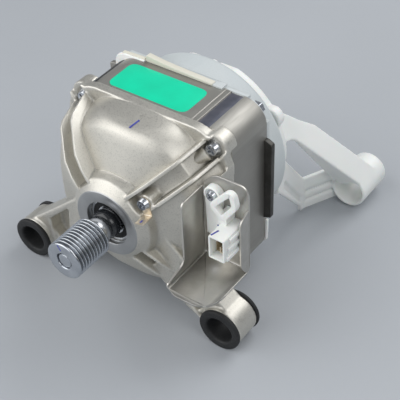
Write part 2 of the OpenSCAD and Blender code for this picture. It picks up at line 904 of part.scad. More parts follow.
module left_lug_bush() {
    lug_bush(-lug_x);
}

module right_lug_bush() {
    lug_bush(lug_x);
}

module corner_screws() {
    color("lightgray") corners()
        pan_screw(0, 0, screw_r, screw_head_r, screw_head_h, screw_seat_y, screw_end);
}

module corner_nuts() {
    color("lightgray") corners() translate([0, cap_y + flange_t, 0]) rotate([-90, 0, 0]) difference() {
        cylinder(r = nut_r, h = nut_h, $fn = 6);
        translate([0, 0, -cut]) cylinder(r = screw_r, h = nut_h + 2 * cut);
    }
}

module earth_screw() {
    seat = earth_y - earth_tab_t;
    color("lightgray")
        pan_screw(earth_x, earth_z, small_r, small_head_r, small_head_h, seat, earth_y + small_len);
}

// Earth tab: a flat eye under the screw, a drop and a blade that points forwards
module earth_tab() {
    blade = 10;
    blade_half = earth_half - 0.2;
    color("palegoldenrod") {
        slab(earth_y - earth_tab_t, earth_y) difference() {
            earth_outline(0);
            translate([earth_x, earth_z]) circle(small_r + slip);
        }
        translate([earth_x, earth_y - blade, earth_z]) rotate([0, -earth_lean, 0])
            translate([-blade_half, 0, -earth_drop + slip])
                cube([2 * blade_half, blade - earth_tab_t / 2, earth_tab_t]);
    }
}

// Sheet steel tray: back plate, left wall, floor and a lip on the right
module connector_tray() {
    bend = 5;
    wall_bend = 3;
    nose = tray_front + 3;
    color("darkgray") difference() {
        union() {
            slab(tray_y, tray_back) polygon([[tray_x, tray_low], [tray_right, tray_low],
                [tray_right, tray_top - bend - 1], [tray_right - bend, tray_top],
                [tray_x + tray_corner, tray_top], [tray_x, tray_top - tray_corner]]);
            translate([tray_x, 0, 0]) rotate([90, 0, 90]) linear_extrude(tray_t) polygon([[nose, tray_low],
                [tray_back, tray_low], [tray_back, wall_top], [wall_front + wall_bend, wall_top],
                [wall_front, wall_top - wall_bend], [wall_front, bend - tray_floor],
                [nose, tray_t - tray_floor]]);
            translate([0, 0, tray_low]) linear_extrude(tray_t) polygon([[tray_x, tray_back],
                [tray_x, nose], [tray_x + tray_nose, tray_front], [tray_right - tray_corner, tray_front],
                [tray_right - 1.6, tray_front + tray_nose], [tray_right, tray_front + 2 * tray_nose],
                [tray_right, tray_back]]);
            translate([tray_right - tray_t, 0, 0]) rotate([90, 0, 90]) linear_extrude(tray_t) polygon([
                [tray_back, tray_low], [tray_back, lip_high + lip_step], [lip_y, lip_high], [lip_y, lip_low],
                [lip_y + lip_step, tray_low]]);
        }
        for (z = [post_high_z, post_low_z]) bar_y(post_x, z, small_r + slip, tray_y - cut, tray_back + cut);
    }
}

// The screw through the connector's eye, the tray and the upper post
module connector_screw() {
    end = tray_back + small_len;
    color("silver") pan_screw(post_x, post_high_z, small_r, eye_head_r, eye_head_h, tray_y - ear_t, end);
}

module tray_rivet() {
    head_h = 1.2;
    color("silver") {
        bar_y(post_x, post_low_z, small_r, tray_y - head_h / 2, tray_back + small_len);
        bar_y(post_x, post_low_z, eye_head_r, tray_y - head_h, tray_y);
    }
}

// White connector: eye, stem, socket and the wire clip above the socket
module connector_housing() {
    ear_y = tray_y - ear_t;
    stem_z = socket_z + 2;
    hole_w = socket_w - 2 * socket_wall;
    hole_h = socket_h - 2 * socket_wall;
    color("white") difference() {
        union() {
            bar_y(post_x, post_high_z, eye_r, ear_y, tray_y);
            translate([stem_x, ear_y, stem_z]) cube([stem_w, ear_t, post_high_z - stem_z]);
            translate([stem_x, ear_y, socket_z]) cube([socket_x - stem_x + 2, ear_t, socket_h]);
            translate([socket_x, socket_y, socket_z]) cube([socket_w, socket_len, socket_h]);
            slab(clip_y, clip_y + clip_t) clip_outline();
            translate([socket_x - 1, clip_y, socket_top - 1])
                cube([clip_foot_w, tray_y - clip_y, clip_foot_h]);
        }
        translate([socket_x + socket_wall, socket_y - cut, socket_z + socket_wall])
            cube([hole_w, socket_len - socket_back + cut, hole_h]);
        bar_y(post_x, post_high_z, small_r + slip, ear_y - cut, tray_y + cut);
        bar_y(post_x, post_high_z, eye_r - eye_rim, clip_y - cut, ear_y);
        for (i = [0, 1], j = [0 : 2]) terminal(i, j, slip);
    }
}

// Loop of the wire clip, as an outline with its opening
module clip_outline() {
    difference() {
        polygon([[socket_x - 1, socket_top], [socket_x + 5, socket_top],
            [tray_right - 1.5, socket_top + 14], [tray_right - 3, socket_top + 23],
            [tray_right - 8, socket_top + 25], [socket_x - 8, socket_top + 11],
            [socket_x - 7, socket_top + 8]]);
        polygon([[socket_x + 3, socket_top + 6.5], [tray_right - 5, socket_top + 15],
            [tray_right - 6, socket_top + 20], [socket_x, socket_top + 11]]);
    }
}

// One contact pin of the socket
module terminal(i, j, grow) {
    x = socket_x + socket_w * (i + 1) / 3;
    z = socket_z + socket_h * (j + 1) / 4;
    w = pin_w + 2 * grow;
    translate([x - w / 2, tray_y - socket_back - pin_len, z - w / 2]) cube([w, pin_len + socket_back, w]);
}

module connector_terminals() {
    color("goldenrod") for (i = [0, 1], j = [0 : 2]) terminal(i, j, 0);
}

module hall_board() {
    color("darkgreen") ring_y(board_in_r, board_out_r, board_y, board_y + board_t);
}

module hall_sensors() {
    t = hall_size / 2;
    color("black") for (a = [60, 90, 120]) rotate([0, -a, 0])
        translate([hall_r - t, board_y - t, -t]) cube([hall_size, t, hall_size]);
}

module bracket_screws() {
    seat = base_y + lobe_h;
    end = cap_back - small_len + small_room;
    color("lightgray") bracket_points() mirror([0, 1, 0])
        pan_screw(0, 0, small_r, small_head_r, small_head_h, -seat, -end);
}

module shaft() {
    chamfer = 0.8;
    core_r = shaft_core_d / 2;
    step = front_bearing_y + bearing_w;
    color("silver") turned() polygon([[0, pulley_y], [shaft_r - chamfer, pulley_y],
        [shaft_r, pulley_y + chamfer], [shaft_r, step], [core_r, step], [core_r, rear_bearing_y],
        [shaft_r, rear_bearing_y], [shaft_r, shaft_back], [0, shaft_back]]);
}

module pulley() {
    r = pulley_d / 2;
    flat = 0.5;
    grooves = [for (i = [0 : groove_count - 1], p = [[0, 0.1], [1, 0.4], [1, 0.6], [0, 0.9]])
        [r - p[0] * groove_depth, groove_edge + (i + p[1]) * groove_pitch]];
    front = [[shaft_r, 0], [r - flat, 0], [r, flat]];
    back = [[r, pulley_len - flat], [r - flat, pulley_len], [shaft_r, pulley_len]];
    color("lightsteelblue") translate([0, pulley_y, 0]) turned() polygon(concat(front, grooves, back));
}

module shaft_collar() {
    r = collar_d / 2;
    edge = 1;
    color("silver") turned() polygon([[shaft_r, collar_y], [r - edge, collar_y], [r, collar_y + edge],
        [r, slinger_y - edge], [r - edge, slinger_y], [shaft_r, slinger_y]]);
}

module shaft_slinger() {
    r = slinger_d / 2;
    nose = 1.6;
    edge = 0.5;
    color("black") turned() polygon([[shaft_r, slinger_y], [r - nose, slinger_y],
        [r - edge, slinger_y + edge], [r, slinger_y + nose], [r, front_bearing_y - edge],
        [r - edge, front_bearing_y], [shaft_r, front_bearing_y]]);
}

module rotor_core() {
    front = body_y + rotor_margin;
    color("dimgray") ring_y(shaft_core_d / 2, rotor_r - magnet_t, front, cap_y - rotor_margin);
}

module rotor_magnets() {
    half = 180 / magnet_count * magnet_share;
    far = rotor_r * 1.2;
    side = far * sin(half);
    pitch = 360 / magnet_count;
    color("slategray") for (i = [0 : magnet_count - 1]) rotate([0, i * pitch, 0]) intersection() {
        ring_y(rotor_r - magnet_t, rotor_r, body_y + rotor_margin, cap_y - rotor_margin);
        slab(body_y, cap_y) polygon([[0, 0], [far * cos(half), -side], [far * cos(half), side]]);
    }
}

module tacho_magnet() {
    back = board_y - tacho_gap;
    color("slategray") ring_y(shaft_core_d / 2, tacho_r, back - tacho_len, back);
}

// Moves a piece from the shaft to the surface that the part stands on
module standing() {
    translate([0, -middle_y, stand_z]) children();
}

standing() front_bell();
standing() stator_jacket();
standing() stator_core();
standing() front_insulator();
standing() rear_insulator();
standing() stator_winding();
standing() label_plate();
standing() rear_cap();
standing() rear_bracket();
standing() front_bearing_outer();
standing() rear_bearing_outer();
standing() front_bearing_seals();
standing() rear_bearing_seals();
standing() wave_washer();
standing() left_lug_bush();
standing() right_lug_bush();
standing() corner_screws();
standing() corner_nuts();
standing() earth_screw();
standing() earth_tab();
standing() connector_tray();
standing() connector_screw();
standing() tray_rivet();
standing() connector_housing();
standing() connector_terminals();
standing() hall_board();
standing() hall_sensors();
standing() bracket_screws();
standing() shaft();
standing() pulley();
standing() shaft_collar();
standing() shaft_slinger();
standing() front_bearing_inner();
standing() rear_bearing_inner();
standing() rotor_core();
standing() rotor_magnets();
standing() tacho_magnet();
standing() front_cage();
standing() front_balls();
standing() rear_cage();
standing() rear_balls();
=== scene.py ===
"""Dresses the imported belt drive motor: shapes, finishes, studio and camera.

Sizes are in millimetres about the shaft, X to the right, Y from the pulley to the back and Z up,
and go into each mesh as metres in the frame that the part stands in.
"""

import json
import logging
from dataclasses import dataclass, field
from enum import Enum
from math import cos, pi, radians, sin, sqrt
from typing import Any, Optional, Sequence, Union

import bmesh
import bpy
import numpy as np
from mathutils import Matrix, Vector


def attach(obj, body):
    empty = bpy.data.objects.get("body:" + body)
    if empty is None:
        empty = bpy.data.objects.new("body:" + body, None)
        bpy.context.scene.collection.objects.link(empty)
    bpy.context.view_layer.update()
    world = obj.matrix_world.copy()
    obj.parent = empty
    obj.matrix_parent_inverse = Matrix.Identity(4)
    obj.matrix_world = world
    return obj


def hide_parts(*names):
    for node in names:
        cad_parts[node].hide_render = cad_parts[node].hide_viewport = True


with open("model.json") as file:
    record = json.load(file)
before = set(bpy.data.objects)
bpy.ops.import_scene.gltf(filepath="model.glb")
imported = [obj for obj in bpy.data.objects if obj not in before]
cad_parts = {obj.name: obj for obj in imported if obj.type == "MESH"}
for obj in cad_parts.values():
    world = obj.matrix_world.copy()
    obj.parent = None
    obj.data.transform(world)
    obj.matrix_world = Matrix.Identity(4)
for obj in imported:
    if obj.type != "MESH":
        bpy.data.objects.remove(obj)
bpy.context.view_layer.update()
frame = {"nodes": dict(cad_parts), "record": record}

Tree, Socket, Mesh, Piece = bpy.types.NodeTree, bpy.types.NodeSocket, bpy.types.Mesh, bpy.types.Object
Array = np.ndarray
Pair, Triple, Place = tuple[float, float], tuple[float, float, float], Sequence[float]
Line, Corners, Ends = tuple[Pair, ...], Sequence[Triple], tuple[Triple, Triple]

LOG = logging.getLogger("motor")
MM = 0.001
STAND = np.array([0.0, -74.25, 66.8])
AXIS_Z = float(STAND[2]) * MM
FORWARD = np.array([0.0, -1.0, 0.0])
UP = np.array([0.0, 0.0, 1.0])
# Largest distance of points that are one, in metres: in a new surface and in a copy of a node
SAME_POINT, SAME_CAD_POINT = 1e-7, 1e-6
# Shortest length that still gives a direction
LEAST_LENGTH = 1e-9
# Ranges of noise or of pointiness over which a tone fades in
PATCH_RANGE = {"From Min": 0.32, "From Max": 0.68}
GRAIN_RANGE = {"From Min": 0.3, "From Max": 0.7}
SPECKLE_RANGE = {"From Min": 0.5, "From Max": 0.3}
# Pointiness ranges of the painted highlight on ridges and of the painted shade in hollows
RIDGE_HIGHLIGHT_RANGE = {"From Min": 0.505, "From Max": 0.56}
HOLLOW_SHADE_FROM = 0.495
# Distance at which Blender's wave pattern repeats when its scale is 1
WAVE_REPEAT = 0.314
# Steps of a rounded edge, and the angle in degrees from which an edge is rounded
EDGE_STEPS, EDGE_DEG = 3, 32.0
# How deep light goes under a skin that lets it in, in millimetres
LIGHT_DEPTH = 0.5


class Body(Enum):
    """The bodies that pieces ride on."""

    FRAME = "frame"
    ROTOR = "rotor"


class Lay(Enum):
    """Stretch of a pattern's coordinates along X, Y and Z."""

    ALONG_SHAFT = (1.0, 0.05, 1.0)
    UPRIGHT = (1.0, 1.0, 0.05)


def linear(hex_colour: str) -> tuple[float, ...]:
    """Linear red, green, blue and alpha of an sRGB colour given as six hex digits after a hash."""
    srgb = np.array([int(hex_colour[i:i + 2], 16) for i in (1, 3, 5)]) / 255.0
    return (*np.where(srgb <= 0.04045, srgb / 12.92, ((srgb + 0.055) / 1.055) ** 2.4).tolist(), 1.0)


def add(tree: Tree, kind: str, values: Optional[dict] = None, links: Optional[dict] = None,
        **settings: Any) -> bpy.types.Node:
    """Adds one node with its settings, socket values and incoming links.

    Args:
        tree: node tree that gets the node.
        kind: Blender's name of the node type, after ShaderNode.
        values: socket name or number to its constant.
        links: socket name or number to the output that feeds it.
        settings: the node's own properties.

    Returns:
        The new node.
    """
    node = tree.nodes.new(f"ShaderNode{kind}")
    for key, value in settings.items():
        setattr(node, key, value)
    for key, value in (values or {}).items():
        node.inputs[key].default_value = value
    for key, source in (links or {}).items():
        tree.links.new(source, node.inputs[key])
    return node


@dataclass(frozen=True)
class Finish:
    """A surface with two tones in soft patches, a fine grain, a painted highlight on ridges, painted shade in
    hollows, and its slot.
    """

    name: str
    slot: str
    tone: str
    tone_b: str
    metallic: float = 0.0
    roughness: float = 0.5
    swing: float = 0.08
    patch_mm: float = 14.0
    grain_mm: float = 0.8
    bump: float = 0.1
    bump_mm: float = 0.05
    # Shares and tones of the dark speckle, of the painted highlight on ridges and of the painted shade in
    # hollows
    speckle: float = 0.0
    ridge_highlight: float = 0.0
    hollow_shade: float = 0.0
    hollow_shade_at: float = 0.43
    highlight_tone: str = "#f4f1e8"
    speckle_and_shade_tone: str = "#34332f"
    coat: float = 0.0
    subsurface: float = 0.0

    def patch(self, tree: Tree, place: Socket) -> Socket:
        """Share of the second tone: soft noise of the patch size."""
        noise = add(tree, "TexNoise", {"Scale": 1.0 / (self.patch_mm * MM), "Detail": 4.0}, {"Vector": place})
        return add(tree, "MapRange", PATCH_RANGE, {"Value": noise.outputs["Fac"]}).outputs["Result"]

    def grain(self, tree: Tree, place: Socket) -> Socket:
        """Height of the grain: fine noise of the grain size."""
        return add(tree, "TexNoise", {"Scale": 1.0 / (self.grain_mm * MM), "Detail": 3.0},
                   {"Vector": place}).outputs["Fac"]

    def make(self) -> bpy.types.Material:
        """Builds the material the first time that it is asked for.

        Returns:
            The material.
        """
        found = bpy.data.materials.get(self.name)
        if found:
            return found
        mat = bpy.data.materials.new(self.name)
        mat.use_nodes = True
        tree = mat.node_tree
        shader = tree.nodes["Principled BSDF"]
        place = add(tree, "TexCoord").outputs["Object"]
        grain = self.grain(tree, place)
        colour = add(tree, "Mix", {"A": linear(self.tone), "B": linear(self.tone_b)},
                     {"Factor": self.patch(tree, place)}, data_type="RGBA").outputs[2]
        point = add(tree, "NewGeometry").outputs["Pointiness"]
        hollow_shade_range = {"From Min": HOLLOW_SHADE_FROM, "From Max": self.hollow_shade_at}
        # The speckle is a dark tone in the grain; from pointiness, ridges get a painted highlight and hollows
        # painted shade
        for share, source, span, tint in ((self.speckle, grain, SPECKLE_RANGE, self.speckle_and_shade_tone),
                                          (self.ridge_highlight, point, RIDGE_HIGHLIGHT_RANGE, self.highlight_tone),
                                          (self.hollow_shade, point, hollow_shade_range, self.speckle_and_shade_tone)):
            if share:
                fade = add(tree, "MapRange", {**span, "To Max": share}, {"Value": source}).outputs["Result"]
                mix = add(tree, "Mix", {"B": linear(tint)}, {"Factor": fade, "A": colour}, data_type="RGBA")
                colour = mix.outputs[2]
        ends = {"To Min": self.roughness - self.swing, "To Max": self.roughness + self.swing}
        rough = add(tree, "MapRange", {**GRAIN_RANGE, **ends}, {"Value": grain}).outputs["Result"]
        bump = add(tree, "Bump", {"Strength": self.bump, "Distance": self.bump_mm * MM},
                   {"Height": grain}).outputs["Normal"]
        for socket, source in (("Base Color", colour), ("Roughness", rough), ("Normal", bump)):
            tree.links.new(source, shader.inputs[socket])
        for socket, value in (("Metallic", self.metallic), ("Coat Weight", self.coat),
                              ("Subsurface Weight", self.subsurface), ("Subsurface Scale", LIGHT_DEPTH * MM)):
            shader.inputs[socket].default_value = value
        return mat


@dataclass(frozen=True)
class Rolled(Finish):
    """Sheet with streaks along its rolling direction."""

    lay: Lay = Lay.ALONG_SHAFT

    def grain(self, tree: Tree, place: Socket) -> Socket:
        """Height of the streaks: fine noise drawn out along the lay."""
        drawn = add(tree, "Mapping", {"Scale": self.lay.value}, {"Vector": place}).outputs["Vector"]
        return super().grain(tree, drawn)


@dataclass(frozen=True)
class Spangled(Rolled):
    """Zinc coated sheet with crystals of zinc."""

    def patch(self, tree: Tree, place: Socket) -> Socket:
        """Share of the second tone: one for each cell of the patch size."""
        cells = add(tree, "TexVoronoi", {"Scale": 1.0 / (self.patch_mm * MM)}, {"Vector": place})
        return add(tree, "SeparateColor", links={"Color": cells.outputs["Color"]}).outputs["Red"]


@dataclass(frozen=True)
class Lathed(Finish):
    """Metal with rings from a turning tool about the shaft."""

    def grain(self, tree: Tree, place: Socket) -> Socket:
        """Noise along one coordinate only, the distance from the shaft plus Y.

        Args:
            tree: node tree of the material.
            place: coordinates on the piece.

        Returns:
            Height of the rings.
        """
        about = add(tree, "Mapping", {"Location": (0.0, 0.0, -AXIS_Z), "Scale": (1.0, 0.0, 1.0)},
                    {"Vector": place}).outputs["Vector"]
        far = add(tree, "VectorMath", links={0: about}, operation="LENGTH").outputs["Value"]
        along = add(tree, "SeparateXYZ", links={"Vector": place}).outputs["Y"]
        ring = add(tree, "Math", links={0: far, 1: along}, operation="ADD").outputs["Value"]
        return add(tree, "TexNoise", {"Scale": 1.0 / (self.grain_mm * MM), "Detail": 2.0}, {"W": ring},
                   noise_dimensions="1D").outputs["Fac"]


@dataclass(frozen=True)
class Stacked(Finish):
    """Sheets or wires side by side along the shaft."""

    def grain(self, tree: Tree, place: Socket) -> Socket:
        """Height of the bands across the shaft, one to each grain size."""
        return add(tree, "TexWave", {"Scale": WAVE_REPEAT / (self.grain_mm * MM), "Distortion": 0.6},
                   {"Vector": place}, bands_direction="Y").outputs["Fac"]


# Die cast and blasted: warm light grey, dull, a fine dark speckle, a painted highlight on ridges and painted
# shade in hollows
CAST = Finish(
    "die_cast_aluminium", "cast_aluminium", "#cbc8c0", "#d6d3ca", metallic=0.85, roughness=0.47,
    swing=0.1, patch_mm=26.0, grain_mm=0.8, bump=0.35, bump_mm=0.1, speckle=0.22, ridge_highlight=0.5, hollow_shade=0.65)
# Cold rolled and lightly oiled: grey brown satin, streaks along the shaft, a painted highlight on ridges
JACKET = Rolled(
    "rolled_steel_sheet", "jacket_steel", "#8a8884", "#7c7a76", metallic=0.9, roughness=0.5, swing=0.08,
    patch_mm=26.0, grain_mm=0.7, bump=0.1, bump_mm=0.03, speckle=0.06, ridge_highlight=0.45)
# Blued spring steel in the jacket's strip: dark violet grey, smooth
BLUED = Rolled(
    "blued_steel_strip", "jacket_steel", "#8d8d97", "#757885", metallic=0.9, roughness=0.36, swing=0.06,
    patch_mm=9.0, grain_mm=0.7, bump=0.06, bump_mm=0.02)
# Hot dip galvanised: paler sheet with faint zinc crystals, streaks upright, a painted highlight on ridges
TRAY = Spangled(
    "galvanised_steel_sheet", "tray_steel", "#aba9a5", "#a09e99", metallic=0.88, roughness=0.36,
    swing=0.08, patch_mm=3.5, grain_mm=0.6, bump=0.08, bump_mm=0.03, speckle=0.05, ridge_highlight=0.5,
    lay=Lay.UPRIGHT)
# Stacked electrical steel: dark bands across the shaft, drawn at 1 mm where the sheets are 0.5 mm
CORE = Stacked(
    "electrical_steel_stack", "core_steel", "#4b4a48", "#5c5b58", metallic=0.8, roughness=0.5, swing=0.1,
    patch_mm=8.0, grain_mm=1.0, bump=0.4, bump_mm=0.1)
# Injection moulded nylon: bright white, satin, a little light passes in, grey green painted shade in hollows
NYLON = Finish(
    "moulded_white_nylon", "white_plastic", "#f6f7f4", "#edefeb", roughness=0.42, swing=0.05,
    patch_mm=40.0, grain_mm=1.2, bump=0.06, bump_mm=0.04, hollow_shade=0.3, speckle_and_shade_tone="#8f968a", subsurface=0.08)
# Glass filled polyester moulding: pale blue grey, matte, faint flow patches
CAP = Finish(
    "moulded_grey_polyester", "grey_plastic", "#cfd4d4", "#c5ccce", roughness=0.5, swing=0.06,
    patch_mm=34.0, grain_mm=1.0, bump=0.1, bump_mm=0.04, speckle=0.05)
# The same moulding where it was left uncoloured: cream
CREAM = Finish(
    "moulded_cream_polyester", "grey_plastic", "#e0ddd0", "#d8d4c5", roughness=0.5, swing=0.06,
    patch_mm=20.0, grain_mm=1.0, bump=0.1, bump_mm=0.04)
# Enamelled copper wire: shiny red brown turns
COPPER = Stacked(
    "enamelled_copper", "copper_winding", "#a3562c", "#8a4522", metallic=0.8, roughness=0.3, swing=0.1,
    patch_mm=5.0, grain_mm=0.9, bump=0.6, bump_mm=0.2)
# Polyester label film: spring green, smooth
FILM = Finish(
    "polyester_label_film", "label_film", "#00dcac", "#08d0a2", roughness=0.34, swing=0.04, patch_mm=18.0,
    grain_mm=1.0, bump=0.03, bump_mm=0.02)
# Ground bearing steel: bright and smooth
BEARING = Lathed(
    "ground_bearing_steel", "bearing_steel", "#d2d4d7", "#c6c8cc", metallic=1.0, roughness=0.22,
    swing=0.04, patch_mm=9.0, grain_mm=0.5, bump=0.05, bump_mm=0.02)
# Vulcanised rubber: near black, dull, with a soft bloom
RUBBER = Finish(
    "vulcanised_rubber", "black_rubber", "#161718", "#212223", roughness=0.62, swing=0.1, patch_mm=12.0,
    grain_mm=0.8, bump=0.25, bump_mm=0.08)
# Moulded polyamide: black with a soft gloss
BLACK = Finish(
    "moulded_black_polyamide", "black_plastic", "#26282c", "#1d1f22", roughness=0.25, swing=0.05,
    patch_mm=9.0, grain_mm=0.8, bump=0.05, bump_mm=0.03, coat=0.3)
# Zinc plated steel: cool bright silver, painted shade in hollows
ZINC = Finish(
    "bright_zinc_plate", "zinc_steel", "#d6d9de", "#c6c9cf", metallic=1.0, roughness=0.24, swing=0.06,
    patch_mm=4.0, grain_mm=0.5, bump=0.1, bump_mm=0.03, hollow_shade=0.7)
# Tinned brass: pale yellow
BRASS = Finish(
    "tinned_brass", "tab_brass", "#e6dccb", "#d9cbb4", metallic=0.7, roughness=0.34, swing=0.08,
    patch_mm=5.0, grain_mm=0.6, bump=0.08, bump_mm=0.03)
# Lacquered circuit board: dark green
BOARD = Finish(
    "lacquered_board", "board", "#1d5a34", "#17492b", roughness=0.35, swing=0.05, patch_mm=7.0,
    grain_mm=0.8, bump=0.1, bump_mm=0.03)
# Turned and zinc plated: silver with fine rings, drawn at 0.5 mm where the tool left 0.1 mm, near black
# painted shade in the groove hollows
TURNED = Lathed(
    "turned_zinc_steel", "turned_steel", "#c4c8cd", "#b4b8be", metallic=1.0, roughness=0.22, swing=0.03,
    patch_mm=7.0, grain_mm=0.5, bump=0.03, bump_mm=0.01, hollow_shade=0.9, hollow_shade_at=0.475, speckle_and_shade_tone="#16181b")
# Machined aluminium: cooler and smoother than the casting, with rings
MILLED = Lathed(
    "machined_aluminium", "cast_aluminium", "#b3b4b4", "#a8a9aa", metallic=0.9, roughness=0.34,
    swing=0.05, patch_mm=9.0, grain_mm=0.6, bump=0.05, bump_mm=0.02)
# Sintered ferrite: charcoal with a dry grain
FERRITE = Finish(
    "sintered_ferrite", "magnet", "#3a3b3d", "#303133", metallic=0.2, roughness=0.6, swing=0.1,
    patch_mm=5.0, grain_mm=0.7, bump=0.3, bump_mm=0.06)
# Moulded cage polyamide: pale tan
CAGE = Finish(
    "moulded_cage_polyamide", "cage_plastic", "#cdbf93", "#bfb083", roughness=0.45, swing=0.06,
    patch_mm=6.0, grain_mm=0.8, bump=0.08, bump_mm=0.03)
# Moulded liner of the socket: beige, matte
BEIGE = Finish(
    "moulded_beige_liner", "white_plastic", "#c9b99c", "#b6a587", roughness=0.5, swing=0.06, patch_mm=6.0,
    grain_mm=0.8, bump=0.06, bump_mm=0.03)
# Marker ink: blue violet film with uneven cover
INK = Finish(
    "marker_ink", "", "#3f4596", "#565bb0", roughness=0.45, swing=0.08, patch_mm=1.2, grain_mm=0.6,
    bump=0.05, bump_mm=0.02)
# Painted board of the stage, with no slot: pale grey, matte
FLOOR = Finish(
    "painted_floor", "", "#b2b6bb", "#adb1b6", roughness=0.7, swing=0.05, patch_mm=300.0, grain_mm=4.0,
    bump=0.02, bump_mm=0.1)

SLOT_FINISH: dict[str, Finish] = {finish.slot: finish for finish in (
    CAST, JACKET, CORE, NYLON, CAP, COPPER, FILM, BEARING, RUBBER, BLACK, ZINC, TRAY, BRASS, BOARD,
    TURNED, FERRITE, CAGE)}


def new_object(name: str, data: Any) -> Piece:
    """Makes an object and puts it into the scene.

    Args:
        name: name of the object.
        data: its mesh, lamp or camera.

    Returns:
        The new object.
    """
    thing = bpy.data.objects.new(name, data)
    bpy.context.collection.objects.link(thing)
    return thing


@dataclass
class Skin:
    """Points and faces of one surface: quads, and flat caps with any number of corners."""

    points: Array
    quads: Array
    caps: list[Array] = field(default_factory=list)

    def mesh(self, name: str) -> Mesh:
        """Mesh of the surface in the standing frame, with doubles merged and faces outwards.

        Args:
            name: name of the mesh.

        Returns:
            The new mesh.
        """
        mesh = bpy.data.meshes.new(name)
        faces = [*self.quads.tolist(), *(cap.tolist() for cap in self.caps)]
        mesh.from_pydata(((self.points + STAND) * MM).tolist(), [], faces)
        merge(mesh, SAME_POINT)
        return mesh


def merge(mesh: Mesh, gap: float) -> None:
    """Merges points that lie together and turns the faces outwards.

    Args:
        mesh: mesh to change.
        gap: largest distance of points that are one, in metres.
    """
    work = bmesh.new()
    work.from_mesh(mesh)
    bmesh.ops.remove_doubles(work, verts=work.verts, dist=gap)
    bmesh.ops.recalc_face_normals(work, faces=work.faces)
    work.to_mesh(mesh)
    work.free()


def put(name: str, shape: Union[Skin, Mesh], finish: Finish, body: Body = Body.FRAME,
        smooth_deg: float = 40.0, node: str = "") -> Piece:
    """Makes a piece, shades it, gives it its finish and rides it on its body.

    Args:
        name: name of the piece.
        shape: surface about the shaft in millimetres, or mesh in the standing frame.
        finish: surface finish.
        body: body that carries the piece.
        smooth_deg: edges sharper than this angle stay sharp.
        node: node that the piece stands for, if any.

    Returns:
        The new object.
    """
    mesh = shape.mesh(name) if isinstance(shape, Skin) else shape
    piece = new_object(name, mesh)
    mesh.polygons.foreach_set("use_smooth", np.ones(len(mesh.polygons), dtype=bool))
    mesh.set_sharp_from_angle(angle=radians(smooth_deg))
    mesh.materials.clear()
    mesh.materials.append(finish.make())
    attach(piece, body.value)
    if node:
        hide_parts(node)
    LOG.info("%s: %d faces", piece.name, len(mesh.polygons))
    return piece


def cad_copy(node: str, finish: Finish) -> Piece:
    """Merged copy of a node that stands for it.

    Args:
        node: name of the node.
        finish: surface finish.

    Returns:
        The new object.
    """
    mesh = frame["nodes"][node].data.copy()
    merge(mesh, SAME_CAD_POINT)
    return put(f"{node}_dressed", mesh, finish, smooth_deg=35.0, node=node)


def round_edges(piece: Piece, width: float) -> None:
    """Rounds the sharp edges of a piece.

    Args:
        piece: piece to change.
        width: width of the rounding in millimetres.
    """
    tool = piece.modifiers.new("round_edges", "BEVEL")
    tool.width, tool.segments, tool.limit_method = width * MM, EDGE_STEPS, "ANGLE"
    tool.angle_limit, tool.use_clamp_overlap = radians(EDGE_DEG), True


def mould_skin(piece: Piece, voxel: float, rounds: int, keep: float) -> None:
    """Gives a piece the soft even skin of a casting.

    Args:
        piece: piece to change.
        voxel: size of the skin's cells in millimetres.
        rounds: number of smoothing rounds.
        keep: share of the faces that is kept.
    """
    skin = piece.modifiers.new("skin", "REMESH")
    skin.mode, skin.voxel_size, skin.use_smooth_shade = "VOXEL", voxel * MM, True
    soft = piece.modifiers.new("soft_edges", "SMOOTH")
    soft.factor, soft.iterations = 0.5, rounds
    thin = piece.modifiers.new("fewer_faces", "DECIMATE")
    thin.ratio = keep


def unit(vectors: Array) -> Array:
    """Vectors along the last axis, each brought to a length of 1."""
    return vectors / np.maximum(np.linalg.norm(vectors, axis=-1, keepdims=True), LEAST_LENGTH)


def joined(*columns: Union[Array, float]) -> Array:
    """Coordinates side by side along a new last axis, each spread to the common shape."""
    return np.stack(np.broadcast_arrays(*columns), axis=-1)


def sheet(points: Array, wrap_rows: bool, wrap_columns: bool) -> Skin:
    """Surface of quads on a grid of points.

    Args:
        points: rows, columns and three coordinates.
        wrap_rows: whether the last row joins the first.
        wrap_columns: whether the last column joins the first.

    Returns:
        The surface.
    """
    rows, columns = points.shape[:2]
    r = np.arange(rows if wrap_rows else rows - 1)[:, None] * columns
    c = np.arange(columns if wrap_columns else columns - 1)
    r2, c2 = (r + columns) % (rows * columns), (c + 1) % columns
    return Skin(points.reshape(-1, 3), joined(r + c, r + c2, r2 + c2, r2 + c).reshape(-1, 4))


def tube(points: Array) -> Skin:
    """Surface of rows of closed rings with a flat cap on the first and last ring.

    Args:
        points: rows, points of each ring and three coordinates.

    Returns:
        The surface.
    """
    skin, count = sheet(points, False, True), points.shape[1]
    skin.caps = [np.arange(count)[::-1], np.arange(len(skin.points) - count, len(skin.points))]
    return skin


def revolve(profile: Sequence, segments: int, centre: Pair = (0.0, 0.0), closed: bool = True) -> Skin:
    """Turns a profile about a line along Y: x = cx + r cos t, z = cz + r sin t, y kept.

    Args:
        profile: radius and Y of each point.
        segments: number of steps round the line.
        centre: X and Z of the line.
        closed: whether the profile's last point joins its first; if not, it starts and ends on the line.

    Returns:
        The surface.
    """
    turn = np.linspace(0.0, 2.0 * pi, segments, endpoint=False)
    r, y = (column[:, None] for column in np.asarray(profile).T)
    return sheet(joined(centre[0] + r * np.cos(turn), y, centre[1] + r * np.sin(turn)), closed, True)


